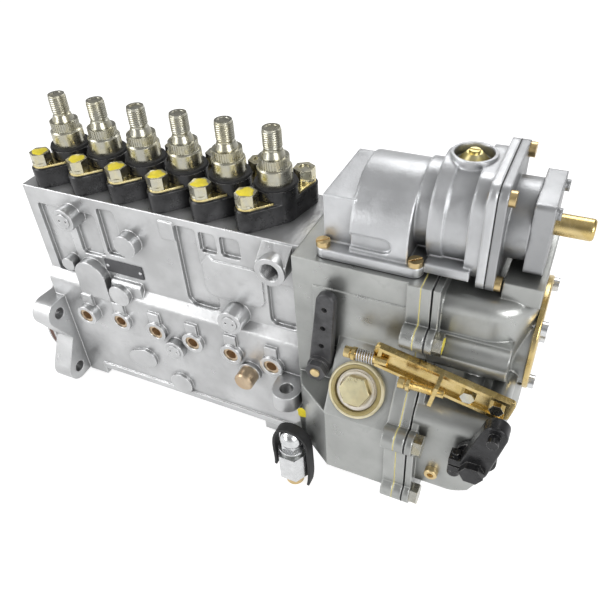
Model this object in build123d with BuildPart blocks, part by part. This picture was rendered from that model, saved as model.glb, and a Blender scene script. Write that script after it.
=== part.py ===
from build123d import *
import math
import os

os.makedirs("parts", exist_ok=True)

# An in-line diesel injection pump with six elements, a governor and a boost unit.
# Origin: centre of the drive flange's mounting face, on the camshaft axis.
# +X runs along the camshaft to the governor, +Z up to the delivery valves, -Y is the front.

# Fits
RUNNING = 0.05
SEAT_GAP = 0.3
FREE_GAP = 0.6

# Pumping elements
ELEMENT_COUNT = 6
ELEMENT_PITCH = 35.0
FIRST_ELEMENT_X = 38.0
ELEMENTS = [FIRST_ELEMENT_X + ELEMENT_PITCH * i for i in range(ELEMENT_COUNT)]

# Pump body
DRIVE_END_X = FIRST_ELEMENT_X - 30.0
BODY_END_X = ELEMENTS[-1] + 31.0
BODY_TOP = 146.0
BODY_BOTTOM = -35.0
UPPER_HALF = 31.5
LOWER_HALF = 38.0
SHOULDER_Z = 60.0
SHOULDER_RISE = 8.0
SHOULDER_R = 5.0
PAD_DROP = 10.0
PAD_LENGTH = 20.0
PAD_WIDTH = 22.0
WALL_STEP_Z = SHOULDER_Z + SHOULDER_RISE
POCKET_DEPTH = 3.5
POCKET_WIDTH = 28.0
POCKET_BOTTOM = WALL_STEP_Z - 1.0
POCKET_TOP = BODY_TOP - 8.0
POCKET_R = 9.0
PAD_PROUD = 1.2
ARCH_R = 14.5
GALLERY_LENGTH = 28.0
RIB_HALF = 5.0
RIB_TOP = 54.0
RIB_Y = -40.5
GALLERY_TOP = 75.0
GALLERY_R = 4.0

# Drive flange
FLANGE_THICK = 18.0
FLANGE_DISC_R = 45.0
FLANGE_ROOT_R = 40.0
FLANGE_EAR_R = 12.5
FLANGE_HOLE_Y = 99.0
FLANGE_HOLE_Z = 64.0
FLANGE_HOLE_R = 5.25
PILOT_R = 47.5
PILOT_LENGTH = 8.0
PILOT_GROOVE = 2.5
PILOT_GROOVE_WIDTH = 4.5

# Camshaft
CAM_BASE_R = 15.3
CAM_LIFT = 11.0
CAM_NOSE_R = 8.0
CAM_WIDTH = 12.0
CAM_TOP_R = CAM_BASE_R + CAM_LIFT
CAM_CLEAR = 2.2
CHAMBER_R = CAM_TOP_R + CAM_CLEAR
SHAFT_R = 13.0
JOURNAL_R = 17.0
BEARING_R = 26.0
BEARING_WIDTH = 18.0
GOVERNOR_BEARING_WIDTH = 12.0
TAPER_BIG_R = 12.5
TAPER_SMALL_R = 10.0
TAPER_LENGTH = 14.0
SHAFT_THREAD_R = 8.0
SHAFT_THREAD_LENGTH = 13.0
DRIVE_NUT_FLATS = 24.0
DRIVE_NUT_HEIGHT = 9.0
GOVERNOR_SHAFT_R = 9.0
LOBE_ANGLES = [0.0, 240.0, 120.0, 300.0, 60.0, 180.0]

# Tappets, plungers and barrels
ROLLER_R = 9.0
ROLLER_WIDTH = 11.0
ROLLER_PIN_R = 4.0
ROLLER_Z = CAM_TOP_R + SEAT_GAP + ROLLER_R
TAPPET_R = 14.0
TAPPET_BOTTOM = 30.0
TAPPET_TOP = 50.0
PLUNGER_R = 5.0
PLUNGER_FOOT_R = 8.0
PLUNGER_FOOT_HEIGHT = 3.0
PLUNGER_TOP = BODY_TOP - 14.0
SPRING_R = 11.5
SPRING_BORE_R = 8.8
SPRING_WIRE = 3.2
STEP_Z = BODY_TOP - 70.0
SEAT_RING = 2.0
ELEMENT_BORE_R = 15.0
BARREL_R = 11.0
BARREL_NECK_R = 9.0
BARREL_NECK_TOP = STEP_Z + 14.0
SLEEVE_R = 13.0
SLEEVE_BOTTOM = STEP_Z + 3.5
SLEEVE_TOP = STEP_Z + 13.0

# Control rack and the arms of the sleeves
RACK_TRAVEL = 10.5
RACK_Y = -20.0
RACK_WIDTH = 7.0
RACK_BOTTOM = STEP_Z + 4.0
RACK_HEIGHT = 8.0
RACK_START_X = FIRST_ELEMENT_X - 12.0
RACK_END_X = BODY_END_X + 30.0
ARM_BOTTOM = RACK_BOTTOM + 4.0
ARM_HEIGHT = 3.0
ARM_WIDTH = 3.0
ARM_PIN_R = 2.5
NOTCH_FLOOR = RACK_BOTTOM + 3.0
RACK_ROOM_Y = -25.0
RACK_ROOM_TOP = RACK_BOTTOM + 10.5
RACK_ROOM_X = RACK_START_X - RACK_TRAVEL - 1.5

# Flange bushings, studs and delivery valve holders
STUD_X = 11.06
STUD_Y = 21.48
STUD_R = 4.0
STUD_DEPTH = 20.0
EAR_HEIGHT = 15.5
EAR_R = 9.0
BUSHING_R = 15.2
COLLAR_R = 15.3
COLLAR_TOP = BODY_TOP + 24.0
SPIGOT_DEPTH = 10.0
SHIM_THICK = 1.5
NUT_FLATS = 13.5
NUT_FLANGE_R = 7.4
WASHER_THICK = 2.0
SHIM_INSET = 0.4
NUT_HEIGHT = 9.0
NUT_TURN = math.degrees(math.atan2(STUD_Y, STUD_X)) - 30
HOLDER_SEAT = BODY_TOP + 4.0
HOLDER_R = 11.85
HOLDER_SHOULDER = BODY_TOP + 37.0
SERRATION_R = 10.4
SERRATION_COUNT = 36
SERRATION_DEPTH = 0.6
SERRATION_WIDTH = 0.8
SERRATION_TOP = HOLDER_SHOULDER + 6.5
HOLDER_NECK_R = 8.0
HOLDER_NECK_BASE = SERRATION_TOP + 0.5
HOLDER_NECK_TOP = HOLDER_NECK_BASE + 4.0
HOLDER_THREAD_R = 6.0
HOLDER_TOP = BODY_TOP + 63.0
HOLDER_CONE_R = 4.0
HOLDER_PASSAGE_R = 1.5
VALVE_ROOM_R = 6.0
VALVE_ROOM_TOP = BODY_TOP + 36.0
VALVE_R = 5.6

# Front wall
GUIDE_ROW_Z = 35.5
GUIDE_OFFSET_X = 5.0
GUIDE_BOSS_R = 9.3
GUIDE_FACE_Y = -42.0
GUIDE_FIRST_FACE_Y = -46.5
GUIDE_SCREW_R = 6.3
GUIDE_BORE_R = 4.2
GUIDE_DEPTH = 11.0
INLET_X = BODY_END_X - 17.0
INLET_Z = BODY_TOP - 16.5
INLET_BOSS_R = 11.0
INLET_FACE_Y = -45.0
INLET_R = 7.0
INLET_DEPTH = 14.0
LUG_X = BODY_END_X - 8.0
LUG_Y = -53.0
LUG_TOP = 31.0
LUG_THICK = 14.0
LUG_R = 11.0
LUG_HOLE_R = 5.25
CAP_PLUG_X = ELEMENTS[4] + 20.0
CAP_PLUG_Z = 21.0
CAP_PLUG_R = 7.8
CAP_PLUG_FACE_Y = -53.0
PLATE_X = ELEMENTS[1] + 15.5
PLATE_Z = WALL_STEP_Z + 18.0
PLATE_LENGTH = 36.0
PLATE_HEIGHT = 12.0
PLATE_THICK = 0.8

# Governor housings
GOV_HALF = 45.0
GOV_TOP = BODY_TOP + 2.0
GOV_BOTTOM = -36.0
GOV_WALL = 7.0
SLOPE_TOP_Z = 93.0
LEDGE_Z = 47.0
BULGE_Y = -76.0
BULGE_BOTTOM = -10.0
BULGE_X = BODY_END_X + 33.0
SLOPE_X = BODY_END_X + 32.0
KEEL_Y = -52.0
FRONT_LENGTH = 84.0
FRONT_FLANGE = 8.0
GASKET = 0.6
RING_LENGTH = 6.0
BLACK_GASKET = 1.2
REAR_FLANGE = 4.2
FLANGE_PROUD = 2.5
GASKET_X = BODY_END_X + FRONT_LENGTH
RING_X = GASKET_X + GASKET
BLACK_GASKET_X = RING_X + RING_LENGTH
REAR_X = BLACK_GASKET_X + BLACK_GASKET
REAR_FACE_X = REAR_X + REAR_FLANGE
REAR_END_X = REAR_FACE_X + 53.0
REAR_HALF = 42.0
REAR_TOP = GOV_TOP - 8.0
REAR_CORNER_R = 27.0
REAR_BELLY_R = 13.0
REAR_BELLY_Y = -40.0
REAR_BELLY_Z = 102.5
CHAMBER_Y = -38.0
CHAMBER_Z = 31.5
CHAMBER_WIDTH = 66.0
CHAMBER_HEIGHT = 79.0
CHAMBER_CORNER_R = 14.0
REAR_CHAMBER_END = REAR_END_X - 10.0
HUMP_TOP = GOV_TOP + 3.0
HUMP_X = REAR_END_X - 22.0
HUMP_HALF = 30.0
BOLT_R = 4.0
BOLT_FLATS = 13.0
BOLT_HEAD = 5.5
BOLT_BOSS_R = 8.0
GOVERNOR_BOLTS = [(-51.0, 112.0), (-79.0, 48.0), (-76.0, -8.0), (51.0, 112.0), (51.0, 40.0), (51.0, -24.0)]
END_COVER_R = 37.0
END_COVER_Z = 96.0
END_COVER_THICK = 3.2
END_COVER_SPIGOT = 1.5
END_OPENING_R = 27.0
END_SCREW_CIRCLE_R = 32.0
SCREW_R = 2.6
SCREW_HEAD_R = 4.5
SCREW_HEAD = 3.6

# Cap on the governor's sloping face
CAP_X = BODY_END_X + 51.5
CAP_R = 19.0
CAP_THICK = 3.5
CAP_STEP_R = 14.5
CAP_STEP = 2.0
CAP_BOLT_FLATS = 18.0
CAP_BOLT_HEIGHT = 6.0

# Governor works
FULCRUM_X = BODY_END_X + 24.0
FULCRUM_Z = 18.0
FULCRUM_PIN_R = 4.0
FULCRUM_HUB_R = 5.9
RACK_PIN_R = 2.5
GOV_SLEEVE_R = 11.5
GOV_SLEEVE_LENGTH = 14.0
GROOVE_WIDTH = 5.6
GROOVE_R = 9.9
FORK_PIN_R = 2.4
FORK_INNER = 12.3
FORK_THICK = 3.7
WEIGHT_PIVOT_X = BODY_END_X + 44.0
WEIGHT_PIVOT_R = 20.0
WEIGHT_FINGER_R = 9.0
WEIGHT_HALF = 9.0
WEIGHT_PIN_R = 2.5
CARRIER_X = BODY_END_X + 54.0
CARRIER_LENGTH = 8.0
CARRIER_R = 14.0
CARRIER_CHEEK = 3.0
SHAFT_END_X = CARRIER_X + CARRIER_LENGTH

# Stop lever
STOP_X = BODY_END_X + 22.0
STOP_Z = 71.0
STOP_LENGTH = 56.0
STOP_TILT = 5.6
STOP_FACE_Y = -52.0
STOP_THICK = 5.0
STOP_HUB_R = 8.0
STOP_TIP_R = 6.3
STOP_SHAFT_R = 4.5
STOP_HOLES = [18.0, 34.0, 50.0]
STOP_HOLE_R = 2.0

# Control lever
CONTROL_X = REAR_FACE_X + 38.0
CONTROL_Z = 48.0
CONTROL_LENGTH = 36.0
CONTROL_TILT = 14.0
CONTROL_FACE_Y = -75.0
CONTROL_THICK = 9.0
CONTROL_HUB_R = 9.0
CONTROL_TIP_R = 7.5
CONTROL_SHAFT_R = 6.0
CONTROL_DISC_R = 12.5
CONTROL_DISC = 3.0
CLAMP_REACH = 15.0
CLAMP_HEIGHT = 12.0
CLAMP_SLIT = 1.6
CLAMP_SCREW_R = 2.6
CLAMP_HEAD_R = 4.2
CONTROL_NUT_FLATS = 13.0
CONTROL_NUT = 5.0
BALL_STUD_R = 3.4
BALL_STUD_LENGTH = 6.0

# Bracket bar on the rear housing
BAR_Y = -58.0
BAR_START = (BODY_END_X + 61.0, 100.0)
BAR_LENGTH = 89.0
BAR_HEIGHT = 17.0
BAR_THICK = 2.5
BAR_LIP = 5.0
BAR_ANGLE = -12.0
BAR_BOLTS = [62.0, 80.0]

# Boost unit on the governor
BOOST_Z = GOV_TOP + 29.0
BOOST_BASE = 6.4
BOOST_GASKET = 0.6
BOOST_X0 = BODY_END_X + 14.0
BOOST_X1 = BOOST_X0 + 68.0
BOOST_HALF = 41.0
BOX_X0 = BOOST_X0 + 3.0
BOX_X1 = BOX_X0 + 19.0
BOX_HALF = 30.5
BOX_TOP = GOV_TOP + 39.5
DOME_X1 = BOOST_X1 - 10.0
DOME_HALF = 37.0
DOME_TOP = GOV_TOP + 53.0
DOME_SPRING = GOV_TOP + 18.0
RECESS_X = DOME_X1 - 24.5
RECESS_Z = GOV_TOP + 15.0
RECESS_LENGTH = 29.0
RECESS_HEIGHT = 10.0
RECESS_DEPTH = 2.5
DRUM_R = 33.0
DRUM_NECK_R = 27.0
DRUM_STEP = 1.0
DRUM_X = DOME_X1 + 9.0
DRUM_STEP_X = DRUM_X + 9.0
DIA_X = BOOST_X1 + 30.0
RIM_X = DIA_X - 8.0
RIM_HALF = 33.0
RIM_R = 18.0
FOOT_TOP = GOV_TOP + 9.4
FOOT_THICK = 6.0
FOOT_HALF = 36.5
DIA_FLANGE = 4.8
DIA_HALF = 34.5
DIA_R = 9.0
DIA_THICK = 0.8
DIA_BOLT_Y = 29.0
DIA_BOLT_Z = 28.0
BOOST_COVER_X = DIA_X + DIA_FLANGE + DIA_THICK
COVER_DRUM_R = 24.0
COVER_DRUM_END = DIA_X + 23.0
END_BLOCK_HALF = 22.5
END_BLOCK_END = COVER_DRUM_END + 11.0
BOOST_ROOM_R = 25.0
BOOST_ROD_R = 4.0
BOOST_STROKE = 6.0
PISTON_R = 16.0
PIPE_R = 6.4
PIPE_LENGTH = 21.0
PIPE_SPIGOT_R = 5.6
PIPE_BORE_R = 4.0
PIPE_END_R = 2.0
CUP_X = DIA_X - 16.0
CUP_Y = 2.0
CUP_R = 13.0
CUP_TOP = GOV_TOP + 64.0
CUP_WALL = 1.6

# Overflow fitting on the front left of the governor
HANGER_Y = -60.0
HANGER_THICK = 4.0
FITTING_X = BODY_END_X + 3.0
FITTING_WASHER = 1.2
BALL_R = 9.0
UNION_Z = -37.0
END_PLUG_Z = -49.0

# Values that follow from the ones above
REAR_TOP_R = 9.0
REAR_BELLY_END = REAR_END_X - 9.0
REAR_ROOM_BOTTOM = 62.0
REAR_ROOM_END = 372.0
REAR_LOW_ROOM = 22.0
END_BOSS_R = 34.5
END_BOSS_LENGTH = 27.0
END_SCREW_DEPTH = 9.0
CONTROL_SHAFT_Y = -50.0
CONTROL_TIP = (
    CONTROL_LENGTH * math.sin(math.radians(CONTROL_TILT)),
    CONTROL_LENGTH * math.cos(math.radians(CONTROL_TILT)),
)
STOP_TIP = (
    STOP_LENGTH * math.sin(math.radians(STOP_TILT)),
    STOP_LENGTH * math.cos(math.radians(STOP_TILT)),
)
BAR_FOOT_Y = -30.0
BAR_BOSS_R = 6.5
BAR_BOLT_R = 2.5
BAR_BOLT_DEPTH = 10.0
BAR_BOLT_FLATS = 8.0
BAR_BOLT_HEAD = 4.0
STUD_LUG = 42.0
STUD_LUG_OUT = 17.0
STOP_SCREW_R = 2.5
STOP_SCREW_LENGTH = 28.0
STOP_NUT_R = 4.4
STOP_NUT = 2.4
BOLT_POCKET_R = 7.6
CAP_RECESS_R = 11.0
SLOPE_ANGLE = math.atan2(SLOPE_TOP_Z - LEDGE_Z, -GOV_HALF - BULGE_Y)
CAP_SHARE = 0.6
CAP_PLANE = Plane(
    origin=(CAP_X, -GOV_HALF + CAP_SHARE * (BULGE_Y + GOV_HALF), SLOPE_TOP_Z - CAP_SHARE * (SLOPE_TOP_Z - LEDGE_Z)),
    x_dir=(1, 0, 0),
    z_dir=(0, -math.sin(SLOPE_ANGLE), math.cos(SLOPE_ANGLE)),
)
BAR_PLANE = Plane(
    origin=(BAR_START[0], BAR_Y, BAR_START[1]),
    x_dir=(math.cos(math.radians(BAR_ANGLE)), 0, math.sin(math.radians(BAR_ANGLE))),
    z_dir=(0, -1, 0),
)
IDLE_PLANE = Plane(origin=(BAR_START[0] + 4, BAR_Y - 5, BAR_START[1] - 3), x_dir=(0, 1, 0), z_dir=(1, 0, 0))
STUD_PLANE = Plane(origin=(BAR_START[0] + 42, BAR_Y - 12, BAR_START[1] - 9), x_dir=(0, 1, 0), z_dir=(1, 0, 0))
BOOST_FOOT = GOV_TOP + BOOST_GASKET
BOOST_SCREWS = [(BOOST_X0 + 4.5, 36.0), (BOOST_X0 + 4.5, -36.0), (BOOST_X1 - 5, 36.0), (BOOST_X1 - 5, -36.0)]
CUP_FLOOR = CUP_TOP - 7.0
BOOST_ROOM_X = DIA_X - 20.0
BOOST_ROD_X = BOOST_ROOM_X - 24.0
PISTON_X = DIA_X + 1.0
PISTON_SPRING_R = 10.0
BOOST_SPRING_TURNS = 4
BOOST_SPRING_PITCH = 3.6
COVER_ROOM_R = 19.0
COVER_ROOM_LENGTH = 9.0
HANGER_Z = -12.0
HANGER_EYE_Y = -71.5
FITTING_NECK_R = 5.0
STRAP_THICK = 2.0
STRAP_WIDTH = 8.0
UNION_FLATS = 22.0
BALL_Z = HANGER_Z + HANGER_THICK + FITTING_WASHER + 8.0
STRAP_TOP = BALL_Z + BALL_R + SEAT_GAP + STRAP_THICK / 2
STRAP_SIDE = UNION_FLATS / 3 ** 0.5 + SEAT_GAP + STRAP_THICK / 2
STRAP_PATH = [
    (-STRAP_SIDE, UNION_Z + 4.0),
    (-STRAP_SIDE, HANGER_Z - 3.0),
    (-STRAP_SIDE + 0.6, STRAP_TOP - 14.0),
    (-STRAP_SIDE + 5.0, STRAP_TOP - 3.8),
    (0.0, STRAP_TOP),
    (STRAP_SIDE - 5.0, STRAP_TOP - 3.8),
    (STRAP_SIDE - 0.6, STRAP_TOP - 14.0),
    (STRAP_SIDE, HANGER_Z - 3.0),
    (STRAP_SIDE, UNION_Z + 2.0),
    (STRAP_SIDE - 1.5, END_PLUG_Z + 2.0),
]
WEIGHT_CHEEK_OUT = WEIGHT_HALF + SEAT_GAP + CARRIER_CHEEK
WEIGHT_HUB_R = 4.2
WEIGHT_REACH = 11.0
FINGER_HALF = 3.0
FINGER_TIP_R = 1.5
FINGER_SHANK = 2.4
THRUST_R = 12.0
ARM_Y = -13.0
ARM_PLATE = 5.0
ARM_TOP_R = 4.9
RACK_MIDDLE_Z = RACK_BOTTOM + RACK_HEIGHT / 2

# Alignments
BASE = (Align.CENTER, Align.CENTER, Align.MIN)


def toward_front(x, y, z):
    """Plane at a point with its normal towards the front, local x along +X and local y up."""
    return Plane(origin=(x, y, z), x_dir=(1, 0, 0), z_dir=(0, -1, 0))


def along_x(x, y=0.0, z=0.0):
    """Plane at a point with its normal along +X, local x along +Y and local y up."""
    return Plane(origin=(x, y, z), x_dir=(0, 1, 0), z_dir=(1, 0, 0))


def bar_point(distance, y):
    """Point at a distance along the bracket bar, at depth y."""
    turn = math.radians(BAR_ANGLE)
    return (BAR_START[0] + distance * math.cos(turn), y, BAR_START[1] + distance * math.sin(turn))


def diaphragm_bolts(x, radius):
    """Section of the four bolts of the diaphragm flange."""
    with BuildSketch(Plane.YZ.offset(x)) as bolts:
        with Locations((0, BOOST_Z)):
            with GridLocations(2 * DIA_BOLT_Y, 2 * DIA_BOLT_Z, 2, 2):
                Circle(radius)
    return bolts.sketch


def finish(piece, name):
    """Label a piece and write it."""
    piece.part.label = name
    export_step(piece.part, "parts/" + name + ".step")


def stud_places():
    """Centres of the studs of all bushings: one in front and one behind each element."""
    places = []
    for x in ELEMENTS:
        places.append((x - STUD_X, -STUD_Y))
        places.append((x + STUD_X, STUD_Y))
    return places


STUDS = stud_places()
GUIDE_PLACES = [ELEMENTS[0] + GUIDE_OFFSET_X + 3] + [x + GUIDE_OFFSET_X for x in ELEMENTS[1:]]
GUIDE_FACES = [GUIDE_FIRST_FACE_Y] + [GUIDE_FACE_Y] * (ELEMENT_COUNT - 1)
FLANGE_HOLES = [
    (y, z)
    for y in (-FLANGE_HOLE_Y / 2, FLANGE_HOLE_Y / 2)
    for z in (-FLANGE_HOLE_Z / 2, FLANGE_HOLE_Z / 2)
]

# Front wall bosses: x, z, radius and the height of the face above the axis plane
PLUG_BOSSES = [
    (ELEMENTS[0] + 12.5, BODY_TOP - 18.0, 9.6, -42.0),
    (ELEMENTS[4] + 11.5, 73.5, 9.8, -46.0),
    (ELEMENTS[3] - 13.0, 23.0, 9.0, -45.0),
]
BLANK_BOSSES = [
    (ELEMENTS[2] - 5.0, BODY_TOP - 30.0, 9.4, -40.5),
    (ELEMENTS[1] + 10.5, 63.5, 9.5, -41.0),
    (ELEMENTS[3] - 17.0, -21.0, 10.5, -41.0),
    (ELEMENTS[0] - 4.0, 79.5, 6.0, -37.0),
]

# Recesses between the ribs of the front wall: start x, end x, bottom, top and corner radius
RECESSES = [
    (ELEMENTS[0] - 21.0, ELEMENTS[0] + 5.0, WALL_STEP_Z - 1.0, BODY_TOP - 14.0, 3.0),
    (ELEMENTS[0] + 12.0, ELEMENTS[1], WALL_STEP_Z + 24.0, BODY_TOP - 14.0, 3.0),
    (ELEMENTS[1] + 3.0, ELEMENTS[2] - 15.0, WALL_STEP_Z + 29.0, BODY_TOP - 7.0, 3.0),
    (ELEMENTS[3] + 2.0, ELEMENTS[4] - 15.0, WALL_STEP_Z + 20.0, BODY_TOP - 6.0, 3.0),
    (ELEMENTS[3] + 2.0, ELEMENTS[4] - 4.0, WALL_STEP_Z - 1.0, WALL_STEP_Z + 42.0, 9.0),
    (ELEMENTS[4] - 13.0, ELEMENTS[4] + 1.0, BODY_TOP - 24.0, BODY_TOP - 7.0, 3.0),
    (ELEMENTS[4] + 4.0, ELEMENTS[5] - 15.0, BODY_TOP - 24.0, BODY_TOP - 7.0, 3.0),
    (ELEMENTS[5] + 3.0, BODY_END_X - 4.0, WALL_STEP_Z + 2.0, WALL_STEP_Z + 42.0, 6.0),
]
PLUG_R = 6.0
PLUG_PROUD = 0.6

# Pump housing: body, drive flange, pads, pockets and bosses
with BuildPart() as pump_housing:
    with BuildSketch(Plane.YZ.offset(DRIVE_END_X)):
        with BuildLine():
            Polyline(
                (-LOWER_HALF, BODY_BOTTOM),
                (-LOWER_HALF, SHOULDER_Z),
                (-UPPER_HALF, SHOULDER_Z + SHOULDER_RISE),
                (-UPPER_HALF, BODY_TOP),
                (UPPER_HALF, BODY_TOP),
                (UPPER_HALF, SHOULDER_Z + SHOULDER_RISE),
                (LOWER_HALF, SHOULDER_Z),
                (LOWER_HALF, BODY_BOTTOM),
                close=True,
            )
        make_face()
    extrude(amount=BODY_END_X - DRIVE_END_X)
    shoulders = [
        edge
        for edge in pump_housing.edges().filter_by(Axis.X)
        if abs(edge.center().Z - SHOULDER_Z) < 0.01
    ]
    fillet(shoulders, SHOULDER_R)

    # the back wall has one pocket between two elements, the front wall has recesses and a raised panel
    with BuildSketch(Plane.XZ.offset(-UPPER_HALF)):
        with Locations(*[(x + ELEMENT_PITCH / 2, (POCKET_TOP + POCKET_BOTTOM) / 2) for x in ELEMENTS[:-1]]):
            RectangleRounded(POCKET_WIDTH, POCKET_TOP - POCKET_BOTTOM, POCKET_R)
    extrude(amount=POCKET_DEPTH, mode=Mode.SUBTRACT)
    with BuildSketch(toward_front(0, -UPPER_HALF, 0)):
        for start, end, bottom, top, corner in RECESSES:
            with Locations(((start + end) / 2, (bottom + top) / 2)):
                RectangleRounded(end - start, top - bottom, corner)
    extrude(amount=-POCKET_DEPTH, mode=Mode.SUBTRACT)
    with BuildSketch(toward_front(0, -UPPER_HALF + POCKET_DEPTH, 0)):
        with Locations((ELEMENTS[4] + 11.0, WALL_STEP_Z + 32.5)):
            RectangleRounded(ELEMENT_PITCH + 13, 33, 7)
        with BuildLine():
            Polyline(
                (ELEMENTS[4] - 14, WALL_STEP_Z + 44),
                (ELEMENTS[4] - 7, WALL_STEP_Z + 54),
                (ELEMENTS[4], WALL_STEP_Z + 44),
                close=True,
            )
        make_face()
        with Locations((ELEMENTS[3] - 4, BODY_TOP - 12)):
            Rectangle(12, 15)
    extrude(amount=POCKET_DEPTH + PAD_PROUD)
    # arch at the drive end and the gallery's raised end beside it
    with BuildSketch(toward_front(0, -UPPER_HALF + POCKET_DEPTH, 0)):
        with Locations((ELEMENTS[0] + 18.5, GALLERY_TOP - 1)):
            Circle(ARCH_R)
        with Locations((ELEMENTS[0] + 18.5, SHOULDER_Z + 4)):
            Rectangle(2 * ARCH_R, 2 * (GALLERY_TOP - SHOULDER_Z) - 8)
    extrude(amount=LOWER_HALF - UPPER_HALF + POCKET_DEPTH + PAD_PROUD)
    with BuildSketch(Plane.YZ.offset(ELEMENTS[1] + 2)):
        with Locations((-LOWER_HALF / 2 - UPPER_HALF / 2 + POCKET_DEPTH, (GALLERY_TOP + SHOULDER_Z) / 2 - 4)):
            RectangleRounded(LOWER_HALF - UPPER_HALF + POCKET_DEPTH, GALLERY_TOP - SHOULDER_Z + 8, GALLERY_R)
    extrude(amount=GALLERY_LENGTH)

    for y, z in FLANGE_HOLES:
        with BuildSketch(Plane.YZ):
            Circle(FLANGE_ROOT_R)
            with Locations((y, z)):
                Circle(FLANGE_EAR_R)
            make_hull()
        extrude(amount=FLANGE_THICK)
    with BuildSketch(Plane.YZ):
        Circle(FLANGE_DISC_R)
    extrude(amount=FLANGE_THICK)
    with Locations(along_x(-PILOT_LENGTH)):
        Cylinder(PILOT_R, PILOT_LENGTH, align=BASE)

    for x in (DRIVE_END_X + PAD_LENGTH, BODY_END_X - 1.5 * PAD_LENGTH):
        for side in (-1, 1):
            with Locations((x, side * (LOWER_HALF - PAD_WIDTH / 2), BODY_BOTTOM - PAD_DROP)):
                Box(PAD_LENGTH, PAD_WIDTH, PAD_DROP + 1, align=BASE)

    with Locations((PLATE_X, -UPPER_HALF + POCKET_DEPTH / 2, PLATE_Z)):
        Box(PLATE_LENGTH + 4, POCKET_DEPTH, PLATE_HEIGHT + 5)

    for x, z, radius, face in PLUG_BOSSES + BLANK_BOSSES:
        root = -UPPER_HALF + POCKET_DEPTH + 1
        with Locations(toward_front(x, root, z)):
            Cylinder(radius, root - face, align=BASE)
    for x, face in zip(GUIDE_PLACES, GUIDE_FACES):
        with Locations(toward_front(x, -LOWER_HALF + 2, GUIDE_ROW_Z)):
            Cylinder(GUIDE_BOSS_R, -LOWER_HALF + 2 - face, align=BASE)
        with Locations((x, (RIB_Y - LOWER_HALF) / 2 + 1, GUIDE_ROW_Z)):
            Box(2 * RIB_HALF, -LOWER_HALF - RIB_Y + 2, RIB_TOP - GUIDE_ROW_Z, align=BASE)
    with Locations(toward_front(CAP_PLUG_X, -LOWER_HALF + 2, CAP_PLUG_Z)):
        Cylinder(CAP_PLUG_R + 1.5, 6, align=BASE)
    with BuildSketch(toward_front(0, -LOWER_HALF + 1, 0)):
        with Locations(Location((90.0, -4.0), 20)):
            SlotOverall(29, 19)
    extrude(amount=4)

    # fuel inlet boss with the web that runs up to the top rail
    with Locations(toward_front(INLET_X, -UPPER_HALF + POCKET_DEPTH + 1, INLET_Z)):
        Cylinder(INLET_BOSS_R, -UPPER_HALF + POCKET_DEPTH + 1 - INLET_FACE_Y, align=BASE)
    with BuildSketch(Plane.YZ.offset(INLET_X - INLET_BOSS_R)):
        with BuildLine():
            Polyline(
                (-UPPER_HALF + 1, INLET_Z),
                (INLET_FACE_Y + 2, INLET_Z),
                (INLET_FACE_Y + 2, INLET_Z + 5),
                (-UPPER_HALF + 1, BODY_TOP - 1),
                close=True,
            )
        make_face()
    extrude(amount=2 * INLET_BOSS_R)

    # foot lug with an upright hole
    with Locations((LUG_X, LUG_Y, LUG_TOP - LUG_THICK)):
        Cylinder(LUG_R, LUG_THICK, align=BASE)
    with Locations((LUG_X - LUG_R, LUG_Y, LUG_TOP - LUG_THICK)):
        Box(LUG_R + BODY_END_X - LUG_X, -LUG_Y - LOWER_HALF + 2, LUG_THICK, align=(Align.MIN, Align.MIN, Align.MIN))

    # bottom rail along the foot of the front wall
    with Locations((DRIVE_END_X + 30, -LOWER_HALF - 1.5, BODY_BOTTOM)):
        Box(BODY_END_X - DRIVE_END_X - 30, 3, 6, align=(Align.MIN, Align.MIN, Align.MIN))

    # bores and rooms
    with Locations(along_x(DRIVE_END_X + 22)):
        Cylinder(CHAMBER_R, BODY_END_X - 12 - DRIVE_END_X - 22, align=BASE, mode=Mode.SUBTRACT)
    with Locations(along_x(-PILOT_LENGTH)):
        Cylinder(BEARING_R, PILOT_LENGTH + BODY_END_X, align=BASE, mode=Mode.SUBTRACT)
    with Locations(*[(x, 0, 0) for x in ELEMENTS]):
        Cylinder(TAPPET_R + RUNNING, STEP_Z, align=BASE, mode=Mode.SUBTRACT)
    with Locations(*[(x, 0, STEP_Z) for x in ELEMENTS]):
        Cylinder(ELEMENT_BORE_R, BODY_TOP - STEP_Z, align=BASE, mode=Mode.SUBTRACT)
    with Locations((RACK_ROOM_X, RACK_ROOM_Y, RACK_BOTTOM - 0.1)):
        Box(
            BODY_END_X - RACK_ROOM_X,
            -RACK_ROOM_Y,
            RACK_ROOM_TOP - RACK_BOTTOM + 0.1,
            align=(Align.MIN, Align.MIN, Align.MIN),
            mode=Mode.SUBTRACT,
        )
    with Locations(*[(x, y, BODY_TOP - STUD_DEPTH) for x, y in STUDS]):
        Cylinder(STUD_R, STUD_DEPTH, align=BASE, mode=Mode.SUBTRACT)
    with Locations(*[along_x(0, y, z) for y, z in FLANGE_HOLES]):
        Cylinder(FLANGE_HOLE_R, FLANGE_THICK, align=BASE, mode=Mode.SUBTRACT)
    with BuildSketch(Plane.YZ.offset(-PILOT_LENGTH / 2 - PILOT_GROOVE_WIDTH / 2)):
        Circle(PILOT_R + 1)
        Circle(PILOT_R - PILOT_GROOVE, mode=Mode.SUBTRACT)
    extrude(amount=PILOT_GROOVE_WIDTH, mode=Mode.SUBTRACT)
    for x, face in zip(GUIDE_PLACES, GUIDE_FACES):
        with Locations(toward_front(x, face + GUIDE_DEPTH, GUIDE_ROW_Z)):
            Cylinder(GUIDE_SCREW_R, GUIDE_DEPTH, align=BASE, mode=Mode.SUBTRACT)
    for x, z, radius, face in PLUG_BOSSES:
        with Locations(toward_front(x, face + 8, z)):
            Cylinder(PLUG_R, 8, align=BASE, mode=Mode.SUBTRACT)
    with Locations(toward_front(CAP_PLUG_X, -LOWER_HALF + 4, CAP_PLUG_Z)):
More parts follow.
